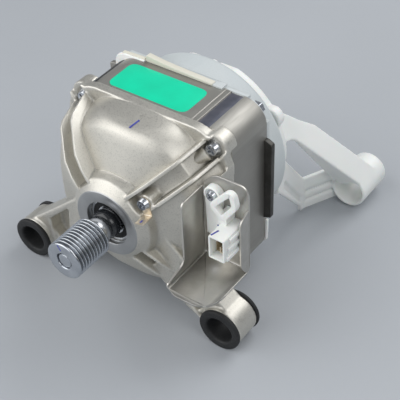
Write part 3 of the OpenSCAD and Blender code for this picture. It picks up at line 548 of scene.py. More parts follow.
def round_corners(corners: Corners, steps: int = 7) -> Array:
    """Closed outline with a curve at each corner.

    Each corner c is cut back along both edges to p and q, and the curve is
    (1-t)^2 p + 2t(1-t) c + t^2 q.

    Args:
        corners: two coordinates and the cut back length of each corner, in order.
        steps: points on each curve.

    Returns:
        Two coordinates of each point.
    """
    data = np.array(corners, dtype=float)
    here, cut = data[:, :2], data[:, 2][:, None]
    p, q = (here + unit(np.roll(here, step, axis=0) - here) * cut for step in (1, -1))
    t = np.linspace(0.0, 1.0, steps)[None, :, None]
    arcs = (1 - t) ** 2 * p[:, None] + 2 * t * (1 - t) * here[:, None] + t ** 2 * q[:, None]
    return arcs.reshape(-1, 2)


def rectangle(x: Place, y: Place, r: float = 0.0, steps: int = 1) -> Array:
    """Outline of a rectangle between two values of each coordinate, with corners as in round_corners."""
    return round_corners([(x[0], y[0], r), (x[1], y[0], r), (x[1], y[1], r), (x[0], y[1], r)], steps)


def outward(outline: Array) -> Array:
    """Unit normals of a closed outline, pointing away from its inside.

    Args:
        outline: two coordinates of each point.

    Returns:
        One normal per point.
    """
    along = unit(np.roll(outline, -1, axis=0) - np.roll(outline, 1, axis=0))
    x, y = outline.T
    area = np.sum(x * np.roll(y, -1) - y * np.roll(x, -1))
    return joined(along[:, 1], -along[:, 0]) * (1.0 if area > 0 else -1.0)


def plate(outline: Array, low: float, high: float, edge: float, axes: str = "XZY") -> Skin:
    """Plate between two planes with round edges.

    Row k is the outline moved inwards by edge (1 - sin a) at a height of edge (1 - cos a) from
    the nearer face.

    Args:
        outline: two coordinates of each point of a closed outline.
        low: lower plane.
        high: upper plane.
        edge: radius of the edges.
        axes: names of the outline's two axes and of the axis across the plate.

    Returns:
        The surface.
    """
    a = np.linspace(0.0, pi / 2, 4)
    inset, rise = edge * (1 - np.sin(a)), edge * (1 - np.cos(a))
    heights = np.concatenate([low + rise, (high - rise)[::-1]])
    flat = outline[None] - outward(outline)[None] * np.concatenate([inset, inset[::-1]])[:, None, None]
    order = [axes.index(name) for name in "XYZ"]
    return tube(joined(flat[..., 0], flat[..., 1], heights[:, None])[..., order])


def carry(section: Array, path: Array, normal: Array, closed: bool = False) -> Skin:
    """Carries a section along a path: point = path + u side + v normal, with side = along x normal.

    Args:
        section: u and v of each point of a closed section.
        path: places along the way.
        normal: direction across the path, for all places.
        closed: whether the path ends where it starts.

    Returns:
        The surface.
    """
    steps = np.roll(path, -1, axis=0) - np.roll(path, 1, axis=0) if closed else np.gradient(path, axis=0)
    along = unit(steps)
    up = unit(normal - along * (along @ normal)[:, None])
    side = np.cross(along, up)
    u, v = section[None, :, :1], section[None, :, 1:]
    points = path[:, None] + u * side[:, None] + v * up[:, None]
    return sheet(points, True, True) if closed else tube(points)


def box_section(width: float, height: float, r: float) -> Array:
    """Rectangle with round corners, centred, as a section to carry."""
    w, h = width / 2, height / 2
    return rectangle((-w, w), (-h, h), r, 4)


def between(a: Place, b: Place, count: int) -> Array:
    """Evenly spaced places from one point to another."""
    return np.linspace(np.array(a, dtype=float), np.array(b, dtype=float), count)


def bar(size: Triple, a: Place, b: Place, count: int, normal: Array) -> Skin:
    """Straight bar from a to b: a box section of a width, a height and a corner length, carried along."""
    return carry(box_section(*size), between(a, b, count), normal)


def panel(corners: Corners, low: float, high: float, edge: float, axes: str = "XZY") -> Skin:
    """Plate with curves at the corners of its outline."""
    return plate(round_corners(corners), low, high, edge, axes)


@dataclass
class FrontBell:
    """Cast front bell: its skin, curved top face, upper ribs, hub face and cones at the corner screws.

    The lines of the ribs, the top face and the hub give the distance from the shaft and Y.
    """

    skin: tuple[float, int, float] = (0.8, 3, 0.42)
    screw_at: float = 46.0
    cone_y: float = 41.5
    cone_in: float = 4.0
    cone_len: float = 15.0
    cone_r: float = 5.2
    cone_taper: float = 0.85
    cone_lean: Pair = (0.8, 0.6)
    rib_at: float = 6.9
    rib_in: float = 5.35
    rib_out: float = 7.45
    rib_edge: float = 0.4
    rib_line: Line = (
        (20.6, 3.2), (26.3, 2.9), (32.8, 4.1), (42.3, 7.4), (48.5, 11.8), (54.6, 16.5), (58.9, 19.6),
        (61.7, 23.4), (65.9, 36.3), (66.5, 40.8), (57.0, 40.8), (46.5, 27.0), (20.6, 14.0))
    short_line: Line = ((38.5, 7.7), (46.9, 11.4), *rib_line[6:12], (38.5, 22.0))
    face_mid: Line = (
        (18.0, 7.4), (29.2, 11.0), (40.0, 14.5), (51.3, 18.0), (54.9, 20.5), (58.4, 25.0), (61.0, 31.0),
        (61.5, 40.4), (62.0, 50.0))
    face_side: Line = (
        (18.0, 8.0), (29.2, 11.9), (40.0, 15.9), (51.2, 21.0), (53.6, 23.4), (55.6, 26.2), (58.2, 33.0),
        (60.2, 40.4), (62.0, 48.0))
    face_wall: float = 2.0
    face_under: float = 0.6
    face_over: float = 9.0
    soft: float = 1.6
    top_z: float = 55.8
    top_from: float = 21.0
    top_slope: float = 0.09
    top_deg: float = 36.0
    tilt_deg: float = 75.0
    post_cut: Line = ((57.6, 70.0), (31.0, 46.95), (28.0, 41.5))
    hub_line: Line = (
        (14.4, 3.4), (14.4, 0.5), (14.55, 0.1), (14.9, -0.06), (21.1, -0.06), (21.5, 0.02), (21.8, 0.25),
        (22.3, 0.7), (21.5, 3.4))

    def cone(self, sx: int, sz: int) -> Skin:
        """Cone along a channel, from the screw to the shaft.

        At share t of its length, its radius is R (1 - taper t).

        Args:
            sx: sign of the corner's X.
            sz: sign of the corner's Z.

        Returns:
            The surface.
        """
        inwards = np.array([-sx, 0.0, -sz]) / sqrt(2.0)
        axis = inwards * self.cone_lean[0] + FORWARD * self.cone_lean[1]
        side = unit(np.cross(axis, FORWARD))
        top = np.cross(side, axis)
        start = np.array([sx * self.screw_at, self.cone_y, sz * self.screw_at]) + inwards * self.cone_in
        t = np.linspace(0.0, 1.0, 12)[:, None, None]
        a = np.linspace(0.0, 2 * pi, 32, endpoint=False)[None, :, None]
        ring = self.cone_r * (1 - self.cone_taper * t) * (np.cos(a) * side + np.sin(a) * top)
        return tube(start + axis * self.cone_len * t + ring)

    def face(self, rib: float, lift: float) -> Array:
        """Grid of the face from the hub's collar over a soft shoulder to the rim, between the upper ribs.

        At share s of the way from the middle to a rib, a place on the profile is mid + (side - mid) s^2,
        with each line averaged over one of its steps. Its radius is then the soft least,
        -k log(e^(-a/k) + e^(-b/k)), of itself and of the flat top, height / cos of the angle.

        Args:
            rib: distance of the two ends from the diagonals.
            lift: distance of the grid above the face.

        Returns:
            Points by share and by place on the profile.
        """
        last = len(self.face_mid) - 2
        u = np.linspace(1.0, last, 97)
        near, steps = u[:, None] + np.linspace(-0.5, 0.5, 11), np.arange(len(self.face_mid))
        mid, side = (np.array([np.interp(near, steps, row).mean(axis=1) for row in np.array(line).T])
                     for line in (self.face_mid, self.face_side))
        s = np.linspace(-1.0, 1.0, 81)[:, None]
        r, y = mid[0] + (side[0] - mid[0]) * s * s, mid[1] + (side[1] - mid[1]) * s * s
        top = (self.top_z + self.top_slope * (y - self.top_from)) / np.cos(s * radians(self.top_deg))
        turn = radians(self.tilt_deg) * (last - u) / (last - 1)
        r = -self.soft * np.log(np.exp(-r / self.soft) + np.exp(-top / self.soft)) + lift * np.cos(turn)
        angle = s * (pi / 4 - np.arcsin(rib / r))
        return joined(r * np.sin(angle), y - lift * np.sin(turn), r * np.cos(angle))

    def carve(self, bell: Piece) -> None:
        """Cuts the node's copy to just under the top face, and the tray's upper post to a short boss.

        Args:
            bell: copy of the node.
        """
        low, high = self.face(self.rib_out, -self.face_under), self.face(self.rib_out, self.face_over)
        x, y, z = self.post_cut
        post = plate(rectangle(x, z), *y, 0.5)
        for skin in (tube(np.concatenate([low, high[:, ::-1]], axis=1)), post):
            tool = new_object("cutter", skin.mesh("cutter"))
            cut = bell.modifiers.new("cut", "BOOLEAN")
            cut.object, cut.operation, cut.solver = tool, "DIFFERENCE", "EXACT"
            graph = bpy.context.evaluated_depsgraph_get()
            bell.data = bpy.data.meshes.new_from_object(bell.evaluated_get(graph))
            bell.modifiers.remove(cut)
            bpy.data.objects.remove(tool)

    def rib(self, sx: int, side: int) -> Skin:
        """Rib beside an upper channel: a plate with its outline along the diagonal and Y.

        The outer rib on the right is short, to leave room for the earth tab.

        Args:
            sx: sign of the corner's X.
            side: 1 for the rib towards the top, -1 for the outer one.

        Returns:
            The surface.
        """
        line = self.short_line if sx > side else self.rib_line
        skin = plate(np.array(line), self.rib_in, self.rib_out, self.rib_edge, "XYZ")
        q = sqrt(0.5)
        turned = np.array([[sx * q, 0.0, q], [0.0, 1.0, 0.0], [-sx * side * q, 0.0, side * q]])
        skin.points = skin.points @ turned
        return skin

    def build(self) -> None:
        """Gives the bell a cast skin, a top face, upper ribs, a hub face and four cones."""
        bell = cad_copy("front_bell", CAST)
        self.carve(bell)
        mould_skin(bell, *self.skin)
        face = sheet(self.face(self.rib_at, 0.0), False, False)
        shell = put("bell_top_face", face, CAST).modifiers.new("wall", "SOLIDIFY")
        shell.thickness, shell.offset = self.face_wall * MM, -1.0
        for name, sx, side in (("left_in", -1, 1), ("left_out", -1, -1),
                               ("right_in", 1, 1), ("right_out", 1, -1)):
            put(f"bell_rib_{name}", self.rib(sx, side), CAST)
        put("hub_face", revolve(self.hub_line, 128), MILLED, smooth_deg=60.0)
        for sx, sz in ((1, 1), (-1, 1), (1, -1), (-1, -1)):
            put(f"bell_cone_{sx}_{sz}".replace("-1", "m"), self.cone(sx, sz), CAST)


@dataclass
class RotorEnd:
    """Pulley, shaft, collar and slinger: everything that shows of the rotor."""

    front: float = -37.5
    length: float = 25.5
    radius: float = 12.0
    groove_count: int = 10
    groove_pitch: float = 2.34
    groove_depth: float = 1.7
    shaft_r: float = 6.0
    collar_y: float = -12.0
    slinger_y: float = -3.6
    slinger_back: float = 4.0
    ink_size: Triple = (0.8, 0.1, 0.03)
    ink_ends: tuple[Pair, Pair] = ((-3.4, 10.6), (-1.3, 7.2))
    ink_lift: float = 0.02

    def pulley(self) -> Array:
        """Radius and Y of the pulley.

        Each groove is a V with round crest and root: r = R - depth (0.6 h + 0.4 h^2 (3 - 2h)), with h
        from 0 at the crest to 1 at the root.

        Returns:
            The profile.
        """
        phase = np.linspace(0.0, 1.0, 20, endpoint=False)
        h = np.clip((0.5 - np.abs(phase - 0.5) - 0.07) / 0.35, 0.0, 1.0)
        depth = self.groove_depth * (0.6 * h + 0.4 * h * h * (3 - 2 * h))
        f, back, s, rim = self.front, self.front + self.length, self.shaft_r, self.radius
        first = f + (self.length - self.groove_count * self.groove_pitch) / 2
        y = (first + self.groove_pitch * (np.arange(self.groove_count)[:, None] + phase[None])).reshape(-1)
        r = np.tile(rim - depth, self.groove_count)
        lead = [[s + 0.05, f + 1.9], [s - 0.7, f + 1.9], [s - 0.7, f + 0.35], [s - 0.5, f + 0.08],
                [s - 0.2, f], [rim - 1.0, f], [rim - 0.5, f + 0.1], [rim - 0.12, f + 0.4], [rim, f + 0.75]]
        tail = [[rim, back - 0.6], [rim - 0.4, back - 0.1], [rim - 0.8, back], [s + 0.05, back]]
        return np.concatenate([lead, joined(r, y), tail])

    def build(self) -> None:
        """Makes the turned pieces and the ink line on the pulley's face."""
        f, c, s, b = self.front, self.collar_y, self.slinger_y, self.slinger_back
        shaft = [[0.0, f + 0.2], [1.5, f + 0.22], [3.0, f + 0.3], [3.9, f + 0.45], [4.35, f + 0.75],
                 [4.5, f + 1.2], [4.5, f + 1.95], [6.0, f + 1.95], [6.0, 14.0], [8.5, 14.0], [8.5, 94.0],
                 [6.0, 94.0], [6.0, 104.0], [5.5, 104.5], [0.0, 104.5]]
        collar = [[6.0, c], [6.9, c], [7.5, c + 0.15], [7.85, c + 0.5], [8.0, c + 1.0], [8.0, s - 1.2],
                  [7.8, s - 0.5], [7.4, s - 0.1], [6.9, s], [6.0, s]]
        turn = np.linspace(-pi / 2, pi / 2, 13)
        roll = joined(7.2 + 1.8 * np.cos(turn), (s + b) / 2 + (b - s) / 2 * np.sin(turn))
        sling = np.concatenate([[[6.0, s]], roll, [[6.0, b]]])
        rotor = Body.ROTOR
        put("pulley_turned", revolve(self.pulley(), 128), TURNED, rotor, 50.0, "pulley")
        put("shaft_turned", revolve(shaft, 72, closed=False), TURNED, rotor, 30.0, "shaft")
        put("collar_turned", revolve(collar, 72), BEARING, rotor, 50.0, "shaft_collar")
        put("slinger_moulded", revolve(sling, 72), BLACK, rotor, 60.0, "shaft_slinger")
        ends = ((x, f - self.ink_lift, z) for x, z in self.ink_ends)
        put("ink_pulley", bar(self.ink_size, *ends, 5, FORWARD), INK, rotor)


@dataclass
class Suspension:
    """Rubber bushes in the two front lugs."""

    lug_x: float = 72.0
    lug_z: float = -53.0
    front: float = 6.4
    back: float = 29.6
    half_line: Line = (
        (8.5, 2.0), (8.7, 0.9), (9.1, 0.35), (9.8, 0.05), (10.4, 0.0), (12.5, 0.0), (13.2, 0.15),
        (13.65, 0.5), (13.8, 1.1), (13.8, 2.0), (13.6, 2.45), (13.2, 2.6), (10.6, 2.6))

    def build(self) -> None:
        """Makes both bushes with round flange edges, the back half a mirror of the front half."""
        half = np.array(self.half_line)
        profile = np.concatenate([half + [0, self.front], (half * [1, -1] + [0, self.back])[::-1]])
        for node, x in (("left_lug_bush", -self.lug_x), ("right_lug_bush", self.lug_x)):
            bush = revolve(profile, 96, (x, self.lug_z))
            put(f"{node}_moulded", bush, RUBBER, smooth_deg=50.0, node=node)


@dataclass
class StatorBody:
    """Folded steel jacket with a raised band, a sunk strip and a side flange, and its bare label.

    The Y of a panel, here and in other classes, is its front, its back and the radius of its edges.
    """

    half: float = 56.0
    corners: Line = ((15.2, 14.0), (21.5, 39.5), (21.5, 22.0), (14.0, 14.0))
    front: float = 47.0
    back: float = 82.0
    wall: float = 1.2
    strip_at: float = 36.4
    strip_w: float = 8.6
    strip_depth: float = 0.9
    strip_gap: Pair = (0.2, 0.6)
    strip_sheet: Pair = (-0.4, 0.1)
    band_half: float = 28.7
    band_rise: float = 0.4
    step: float = 0.3
    label_x: float = -5.5
    label_w: float = 56.0
    label_d: float = 25.0
    label_r: float = 5.5
    label_gap: float = 2.0
    label_t: float = 0.2
    flange: Corners = (
        (54.0, 32.2, 0.5), (57.4, 32.2, 1.0), (61.4, 30.2, 1.0), (60.8, -25.0, 0.6), (54.0, -27.4, 0.5))
    flange_y: Triple = (79.0, 82.4, 0.3)

    def outline(self) -> Array:
        """Square with a quarter ellipse of its own width and height at each corner.

        Returns:
            X and Z of each point, from the upper right corner on.
        """
        turn, arcs = np.linspace(0.0, pi / 2, 21), []
        for k, ((w, h), sx, sz) in enumerate(zip(self.corners, (1, -1, -1, 1), (1, 1, -1, -1))):
            angle = turn + k * pi / 2
            x, z = sx * (self.half - w) + w * np.cos(angle), sz * (self.half - h) + h * np.sin(angle)
            arcs.append(joined(x, z))
        pairs = zip(arcs, arcs[1:] + arcs[:1])
        parts = [(arc, between(arc[-1], after[0], 300)[1:-1]) for arc, after in pairs]
        return np.concatenate([part for pair in parts for part in pair])

    def jacket(self) -> Skin:
        """Outline moved along its normal by each point of the wall's section.

        On the roof and the underside, the strip's depth is taken off and the middle band's rise is
        added, each with a soft step h^2 (3 - 2h).

        Returns:
            The surface.
        """
        line = self.outline()
        along = np.where(np.abs(line[:, 0]) > np.abs(line[:, 1]), self.half, line[:, 0])
        strip, band = (np.clip((half + self.step - np.abs(along - middle)) / (2 * self.step), 0.0, 1.0)
                       for half, middle in ((self.strip_w / 2, self.strip_at), (self.band_half, 0.0)))
        drop = self.strip_depth * strip ** 2 * (3 - 2 * strip) - self.band_rise * band ** 2 * (3 - 2 * band)
        f, b, w = self.front, self.back, self.wall
        section = np.array([[-w, f], [-0.3, f], [-0.08, f + 0.1], [0.0, f + 0.35],
                            [0.0, b - 0.35], [-0.08, b - 0.1], [-0.3, b], [-w, b]])
        move = section[:, :1] - (section[:, :1] > -w) * drop[None]
        flat = line[None] + outward(line)[None] * move[..., None]
        return sheet(joined(flat[..., 0], section[:, 1:], flat[..., 1]), True, True)

    def build(self) -> None:
        """Makes the jacket, the label, the dark sheet in the strip and the flange at the right."""
        put("jacket_folded", self.jacket(), JACKET, smooth_deg=30.0, node="stator_jacket")
        x, y = self.label_x, self.front + self.label_gap + self.label_d / 2
        a, d, roof = self.label_w / 2, self.label_d / 2, self.half
        edge = rectangle((x - a, x + a), (y - d, y + d), self.label_r, 11)
        label = plate(edge, roof, roof + self.band_rise + self.label_t, self.label_t / 2, "XYZ")
        put("label_bare", label, FILM, node="label_plate")
        (gap_x, gap_y), w, floor = self.strip_gap, self.strip_w / 2, roof - self.strip_depth
        sides = (self.strip_at - w + gap_x, self.strip_at + w - gap_x)
        line = rectangle(sides, (self.front + gap_y, self.back - gap_y))
        low, high = (floor + rise for rise in self.strip_sheet)
        put("jacket_strip", plate(line, low, high, 0.05, "XYZ"), BLUED)
        put("jacket_flange", panel(self.flange, *self.flange_y), CORE)


@dataclass
class RearEnd:
    """Moulded rear cap with its lip and clips, and the white bracket with its two legs."""

    skin: tuple[float, int, float] = (0.8, 3, 0.5)
    rounding: float = 0.7
    lip: Corners = (
        (-27.6, 56.6, 0.6), (20.2, 56.6, 0.4), (20.2, 58.0, 0.5), (-12.0, 59.2, 6.0), (-27.6, 60.8, 1.2))
    lip_y: Triple = (79.2, 83.0, 0.4)
    clip: Corners = (
        (-28.6, 50.0, 0.3), (-28.6, 56.9, 0.6), (-44.2, 56.4, 2.0), (-49.6, 54.2, 1.5), (-51.0, 50.0, 1.5),
        (-51.4, 38.0, 0.6), (-44.0, 38.0, 0.3))
    clip_y: Triple = (78.4, 81.6, 0.5)
    edge_size: Triple = (2.2, 1.2, 0.3)
    edge_ends: Ends = ((-45.5, 80.6, 56.3), (-28.8, 80.6, 57.1))
    tab: Corners = ((-50.0, 33.0, 0.4), (-50.0, 47.6, 0.6), (-55.9, 46.2, 0.8), (-55.9, 33.0, 0.8))
    tab_y: Triple = (78.4, 81.6, 0.4)
    low_clip: Corners = ((54.0, -30.0, 0.4), (57.4, -30.0, 0.6), (56.8, -46.4, 1.0), (53.4, -48.6, 0.4))
    low_clip_y: Triple = (80.6, 82.6, 0.3)

    def build(self) -> None:
        """Gives the cap round edges, a lip, two clips and a steel tab, and the bracket a moulded skin."""
        put("cap_clip_low", panel(self.low_clip, *self.low_clip_y), NYLON)
        round_edges(cad_copy("rear_cap", CAP), self.rounding)
        put("cap_lip", panel(self.lip, *self.lip_y), CREAM)
        put("cap_clip", panel(self.clip, *self.clip_y), NYLON)
        put("cap_clip_edge", bar(self.edge_size, *self.edge_ends, 8, UP), CREAM)
        put("jacket_tab", panel(self.tab, *self.tab_y), JACKET)
        mould_skin(cad_copy("rear_bracket", NYLON), *self.skin)


@dataclass
class ConnectorTray:
    """Folded sheet tray: back plate, left wall, floor and right lip, joined by bends."""

    left: float = 50.3
    right: float = 81.3
    sheet: float = 1.2
    front: float = -11.4
    back: float = 26.2
    low: float = -15.2
    top: float = 45.5
    bend: float = 2.2
    lap: float = 0.5
    edge: float = 0.25

    def panels(self) -> list[tuple[str, Corners, float, float, str]]:
        """Flat panels of the tray, which lap a little into the bends.

        Returns:
            Name, corners, two planes and axes of each panel.
        """
        x0, x1, y0, y1, z0, z1 = self.left, self.right, self.front, self.back, self.low, self.top
        t, b = self.sheet, self.bend - self.lap
        return [
            ("tray_back", [(x0 + b, z0 + b, 0.1), (x1 - 1.0, z0 + b, 0.1), (x1, z0 + b + 1, 0.8),
                           (x1, z1, 7.0), (x0 + 9, z1, 4.0), (x0 + b, z1 - 7.3, 1.2)], y1 - t, y1, "XZY"),
            ("tray_wall", [(y1 - b, z0 + b, 0.1), (y1 - b, 35.0, 0.5), (5.0, 35.0, 4.0), (5.0, -8.0, 5.0),
                           (y0, -11.8, 1.4), (y0, z0 + b, 0.1)], x0, x0 + t, "YZX"),
            ("tray_floor", [(x0 + b, y1 - b, 0.1), (x1, y1 - b, 0.5), (x1, -1.4, 3.0), (79.7, -9.0, 4.5),
                            (73.0, -14.4, 4.5), (57.0, -14.4, 3.0), (x0 + b, y0, 0.1)], z0, z0 + t, "XYZ"),
            ("tray_lip", [(y1 - 0.4, z0 + 1.0, 1.5), (y1 - 0.4, 31.0, 2.5), (17.3, 26.0, 3.0),
                          (17.3, -7.0, 3.0), (22.3, z0 + 1.0, 1.5)], x1 - t, x1, "YZX"),
        ]

    def folds(self) -> list[tuple[str, Array, Array, Array]]:
        """Quarter round bends between the panels.

        Returns:
            Name, centre line and the two directions of each bend.
        """
        x, y, z = self.left + self.bend, self.back - self.bend, self.low + self.bend
        right = np.array([1.0, 0.0, 0.0])
        return [
            ("tray_fold_floor", between((x, self.front, z), (x, y, z), 8), right, UP),
            ("tray_fold_wall", between((x, y, z), (x, y, 34.6), 8), right, FORWARD),
            ("tray_fold_back", between((x, y, z), (self.right - 0.4, y, z), 8), FORWARD, UP),
        ]

    def build(self) -> None:
        """Makes the panels as plates and the bends as quarter rings carried along the folds."""
        made = [put(name, panel(corners, low, high, self.edge, axes), TRAY)
                for name, corners, low, high, axes in self.panels()]
        turn = np.linspace(pi, 1.5 * pi, 9)
        arc = joined(np.cos(turn), np.sin(turn))
        ring = np.concatenate([arc * self.bend, (arc * (self.bend - self.sheet))[::-1]])
        for name, path, u, v in self.folds():
            points = path[:, None] + ring[None, :, 0, None] * u + ring[None, :, 1, None] * v
            put(name, tube(points), TRAY)
        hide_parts("connector_tray")


@dataclass
class Connector:
    """White connector: base with eye, socket with liner, contacts and ribs, and the wire clip above it."""

    socket_x: float = 68.2
    socket_w: float = 10.5
    socket_z: float = 5.4
    socket_h: float = 16.0
    socket_r: float = 1.2
    front: float = 5.0
    back: float = 25.0
    wall: float = 1.2
    fork: Line = (
        (73.0, 0.0), (77.2, 0.0), (77.2, 4.0), (76.6, 4.0), (76.6, 0.6), (73.6, 0.6), (73.6, 4.0),
        (73.0, 4.0))
    fork_z: tuple[float, ...] = (8.0, 14.4)
    rib_size: Triple = (1.8, 2.4, 0.4)
    rib_z: tuple[float, ...] = (7.6, 13.4, 18.8)
    rib_step: float = 1.5
    eye_x: float = 60.5
    eye_z: float = 34.7
    eye_r: float = 5.4
    ring_r: float = 4.75
    ring_y: float = 20.9
    ring_half: Pair = (0.75, 0.9)
    foot: Corners = ((55.1, 5.4, 1.5), (70.0, 5.4, 0.5), (70.0, 21.2, 0.5), (65.9, 21.2, 1.0))
    base_y: Triple = (21.0, 25.0, 0.6)
    clip: Corners = (
        (69.8, 25.0, 2.0), (77.9, 36.4, 2.4), (76.2, 43.8, 1.8), (73.6, 43.9, 1.6), (63.0, 31.8, 2.0))
    clip_y: float = 18.0
    clip_size: Triple = (3.4, 4.0, 0.6)
    stem_size: Triple = (5.4, 6.6, 0.8)
    stem_ends: Ends = ((69.9, 16.2, 24.6), (69.9, 24.8, 24.6))
    ink_size: Triple = (1.1, 0.1, 0.03)
    ink_ends: tuple[Pair, Pair] = ((69.5, 6.0), (71.0, 11.3))
    dot_at: Pair = (63.8, 14.2)
    dot_line: Line = ((0.0, 20.94), (0.5, 20.94), (0.7, 20.97), (0.75, 21.05), (0.0, 21.05))

    def shell(self, rows: Sequence[Pair]) -> Skin:
        """Socket skin: the outline moved in by each row's inset, at each row's Y, closed at both ends.

        Args:
            rows: inset and Y of each row.

        Returns:
            The surface.
        """
        x, z, w, h = self.socket_x, self.socket_z, self.socket_w, self.socket_h
        line = rectangle((x, x + w), (z, z + h), self.socket_r, 6)
        data = np.array(rows)
        flat = line[None] - outward(line)[None] * data[:, :1, None]
        return tube(joined(flat[..., 0], data[:, 1:], flat[..., 1]))

    def build(self) -> None:
        """Makes the socket and what is in it, the base, the eye's ring, the clip and the ink marks."""
        f, b, w = self.front, self.back, self.wall
        shell = self.shell([(0, b), (0, f + 0.4), (0.1, f + 0.1), (0.35, f), (w - 0.35, f),
                            (w - 0.1, f + 0.1), (w, f + 0.4), (w, b - 3)])
        put("socket_moulded", shell, NYLON, node="connector_housing")
        liner = self.shell([(w + 0.4, b - 3.2), (w + 0.4, f + 6.0), (w + 0.35, f + 5.8), (w + 0.05, f + 5.8),
                            (w + 0.02, f + 6.0), (w + 0.02, b - 3.05)])
        put("socket_liner", liner, BEIGE)
        for i, z in enumerate(self.fork_z):
            contact = plate(np.array(self.fork) + (0.0, z), f + 4.0 + i, b - 4.0, 0.12)
            put(f"contact_{i}", contact, BRASS)
        x = self.socket_x + self.socket_w + 0.3
        for i, z in enumerate(self.rib_z):
            near = f + self.rib_step + self.rib_step * i
            put(f"socket_rib_{i}", bar(self.rib_size, (x, near, z), (x, b - 1.0, z), 6, UP), NYLON)
        turn = np.linspace(0.0, pi, 25)
        eye = joined(self.eye_x + self.eye_r * np.cos(turn), self.eye_z + self.eye_r * np.sin(turn))
        base = np.concatenate([round_corners(self.foot, 5), eye])
        put("connector_base", plate(base, *self.base_y), NYLON)
        a = np.linspace(0.0, 2 * pi, 16, endpoint=False)
        half_r, half_y = self.ring_half
        ring = joined(self.ring_r + half_r * np.cos(a), self.ring_y + half_y * np.sin(a))
        put("connector_eye", revolve(ring, 48, (self.eye_x, self.eye_z)), NYLON)
        loop = round_corners(self.clip, 8)
        path = joined(loop[:, 0], self.clip_y, loop[:, 1])
        put("connector_clip", carry(box_section(*self.clip_size), path, FORWARD, True), NYLON)
        put("connector_stem", bar(self.stem_size, *self.stem_ends, 6, UP), NYLON)
        ends = ((*place, self.socket_z + self.socket_h) for place in self.ink_ends)
        put("ink_socket", bar(self.ink_size, *ends, 5, UP), INK)
        put("ink_base", revolve(self.dot_line, 20, self.dot_at, False), INK)


@dataclass
class EarthPoint:
    """Earth tab: an eye under the screw, a drop and a blade that points forwards."""

    x: float = 24.0
    y: float = 6.8
    z: float = 22.0
    lean: float = 15.0
    drop: float = 8.6
    fold_r: float = 1.2
    blade: float = 7.6
    section: Triple = (0.75, 6.2, 0.25)
    ink_size: Triple = (1.2, 0.1, 0.03)
    ink_back: Pair = (3.4, 1.2)
    ink_rise: float = 0.4
    eye_line: Line = ((2.1, 6.45), (3.9, 6.4), (4.15, 6.5), (4.2, 6.7), (4.2, 7.0), (4.1, 7.2), (2.1, 7.2))

    def build(self) -> None:
        """Carries a flat section down the drop and round the fold, and makes the eye and its ink mark."""
        a, turn = radians(self.lean), np.linspace(0.0, pi / 2, 7)[:, None]
        down = np.array([sin(a), 0.0, -cos(a)])
        start, r = np.array([self.x, self.y, self.z]), self.fold_r
        fold = start + down * (self.drop - r) + r * (np.sin(turn) * down + (1 - np.cos(turn)) * FORWARD)
        end = fold[-1] + FORWARD * self.blade
        path = np.concatenate([between(start + down * 0.5, start + down * (self.drop - 1.8), 5), fold,
                               between(fold[-1] + FORWARD, end, 6)])
        put("earth_blade", carry(box_section(*self.section), path, np.cross(down, FORWARD)), BRASS)
        eye = revolve(self.eye_line, 48, (self.x, self.z))
        put("earth_eye", eye, BRASS, node="earth_tab")
        ends = (end - FORWARD * back - down * self.ink_rise for back in self.ink_back)
        put("ink_tab", bar(self.ink_size, *ends, 4, -down), INK)


@dataclass
class Fasteners:
    """Screws, nuts and rivet, with rounded edges on their own shapes."""

    nodes: tuple[str, ...] = (
        "corner_screws", "corner_nuts", "earth_screw", "connector_screw", "tray_rivet", "bracket_screws")
    rounding: float = 0.3

    def build(self) -> None:
        """Copies each set with small bevels."""
        for node in self.nodes:
            round_edges(cad_copy(node, ZINC), self.rounding)


@dataclass
class BellMark:
    """Ink dash on the bell's top face."""

    size: Triple = (1.1, 0.3, 0.1)
    ends: Ends = ((3.8, 23.2, 55.6), (5.1, 30.5, 56.6))

    def build(self) -> None:
        """Lays a thin ribbon of ink on the casting."""
        put("ink_bell", bar(self.size, *self.ends, 5, UP), INK)


@dataclass
class Inside:
    """Every node gets the finish of its slot."""

    def build(self) -> None:
        """Assigns the finishes."""
        for part in frame["record"]["subparts"]:
            mesh = frame["nodes"][part["node"]].data
            mesh.materials.clear()
            mesh.materials.append(SLOT_FINISH[part["material_slot"]].make())
            LOG.info("%s: finish %s", part["node"], mesh.materials[0].name)


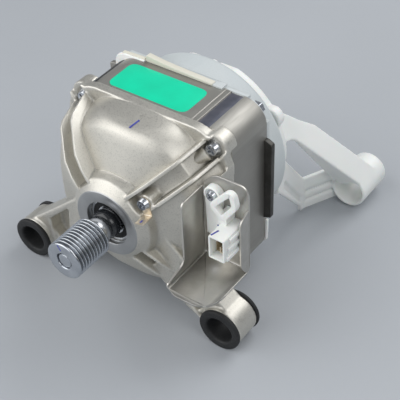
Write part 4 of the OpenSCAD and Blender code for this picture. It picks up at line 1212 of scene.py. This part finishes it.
@dataclass
class Studio:
    """Pale floor, soft lamps and a camera at the photograph's angle."""

    azimuth: float = 37.16
    elevation: float = 40.69
    roll: float = -2.62
    shift: Pair = (53.52, 13.49)
    distance: float = 639.07
    focal_px: float = 1114.75
    frame_px: float = 400.0
    sensor: float = 36.0
    floor_half: float = 3.0
    aim: Triple = (0.0, 0.0, 0.06)
    lamp_rows: tuple[tuple[str, Triple, float, float], ...] = (
        ("key", (-0.55, -0.75, 0.72), 1.5, 13.0), ("fill", (0.85, -0.3, 0.8), 0.6, 2.7),
        ("back", (0.3, 0.7, 0.95), 0.9, 7.0))
    surround: float = 0.32
    surround_tone: str = "#e3e8ee"

    def camera(self) -> None:
        """Places the camera on its fitted line of sight."""
        a, e, r = (radians(v) for v in (self.azimuth, self.elevation, self.roll))
        back = np.array([sin(a) * cos(e), -cos(a) * cos(e), sin(e)])
        right = np.array([cos(a), sin(a), 0.0])
        up = np.cross(back, right)
        side, top = right * cos(r) + up * sin(r), -right * sin(r) + up * cos(r)
        spot = (self.shift[0] * side + self.shift[1] * top + self.distance * back + STAND) * MM
        data = bpy.data.cameras.new("camera")
        data.sensor_width, data.lens = self.sensor, self.sensor * self.focal_px / self.frame_px
        data.clip_start, data.clip_end = 0.01, 20.0
        cam = new_object("camera", data)
        cam.matrix_world = Matrix((*[(side[i], top[i], back[i], spot[i]) for i in range(3)], (0, 0, 0, 1)))
        bpy.context.scene.camera = cam

    def floor(self) -> None:
        """Makes a wide pale floor under the part."""
        s = self.floor_half
        mesh = bpy.data.meshes.new("floor")
        mesh.from_pydata([(-s, -s, 0), (s, -s, 0), (s, s, 0), (-s, s, 0)], [], [(0, 1, 2, 3)])
        mesh.materials.append(FLOOR.make())
        piece = new_object("floor", mesh)

    def lamps(self) -> None:
        """Sets soft square lamps, each with its place, width and power, and a pale surround."""
        for name, spot, size, power in self.lamp_rows:
            data = bpy.data.lights.new(name, "AREA")
            data.size, data.energy = size, power
            lamp = new_object(name, data)
            lamp.location = spot
            lamp.rotation_euler = (Vector(self.aim) - Vector(spot)).to_track_quat("-Z", "Y").to_euler()
        world = bpy.data.worlds.new("surround")
        world.use_nodes = True
        sky = world.node_tree.nodes["Background"]
        sky.inputs["Color"].default_value = linear(self.surround_tone)
        sky.inputs["Strength"].default_value = self.surround
        bpy.context.scene.world = world
        bpy.context.scene.view_settings.view_transform = "Standard"

    def build(self) -> None:
        """Sets up the studio."""
        self.camera()
        self.floor()
        self.lamps()


def main() -> None:
    """Builds the sub-assemblies in order."""
    logging.basicConfig(level=logging.INFO, format="%(message)s")
    for part in (Studio(), Inside(), FrontBell(), StatorBody(), RearEnd(), Suspension(), RotorEnd(),
                 ConnectorTray(), Connector(), EarthPoint(), Fasteners(), BellMark()):
        LOG.info("building %s", type(part).__name__)
        part.build()


if __name__ == "__main__":
    main()
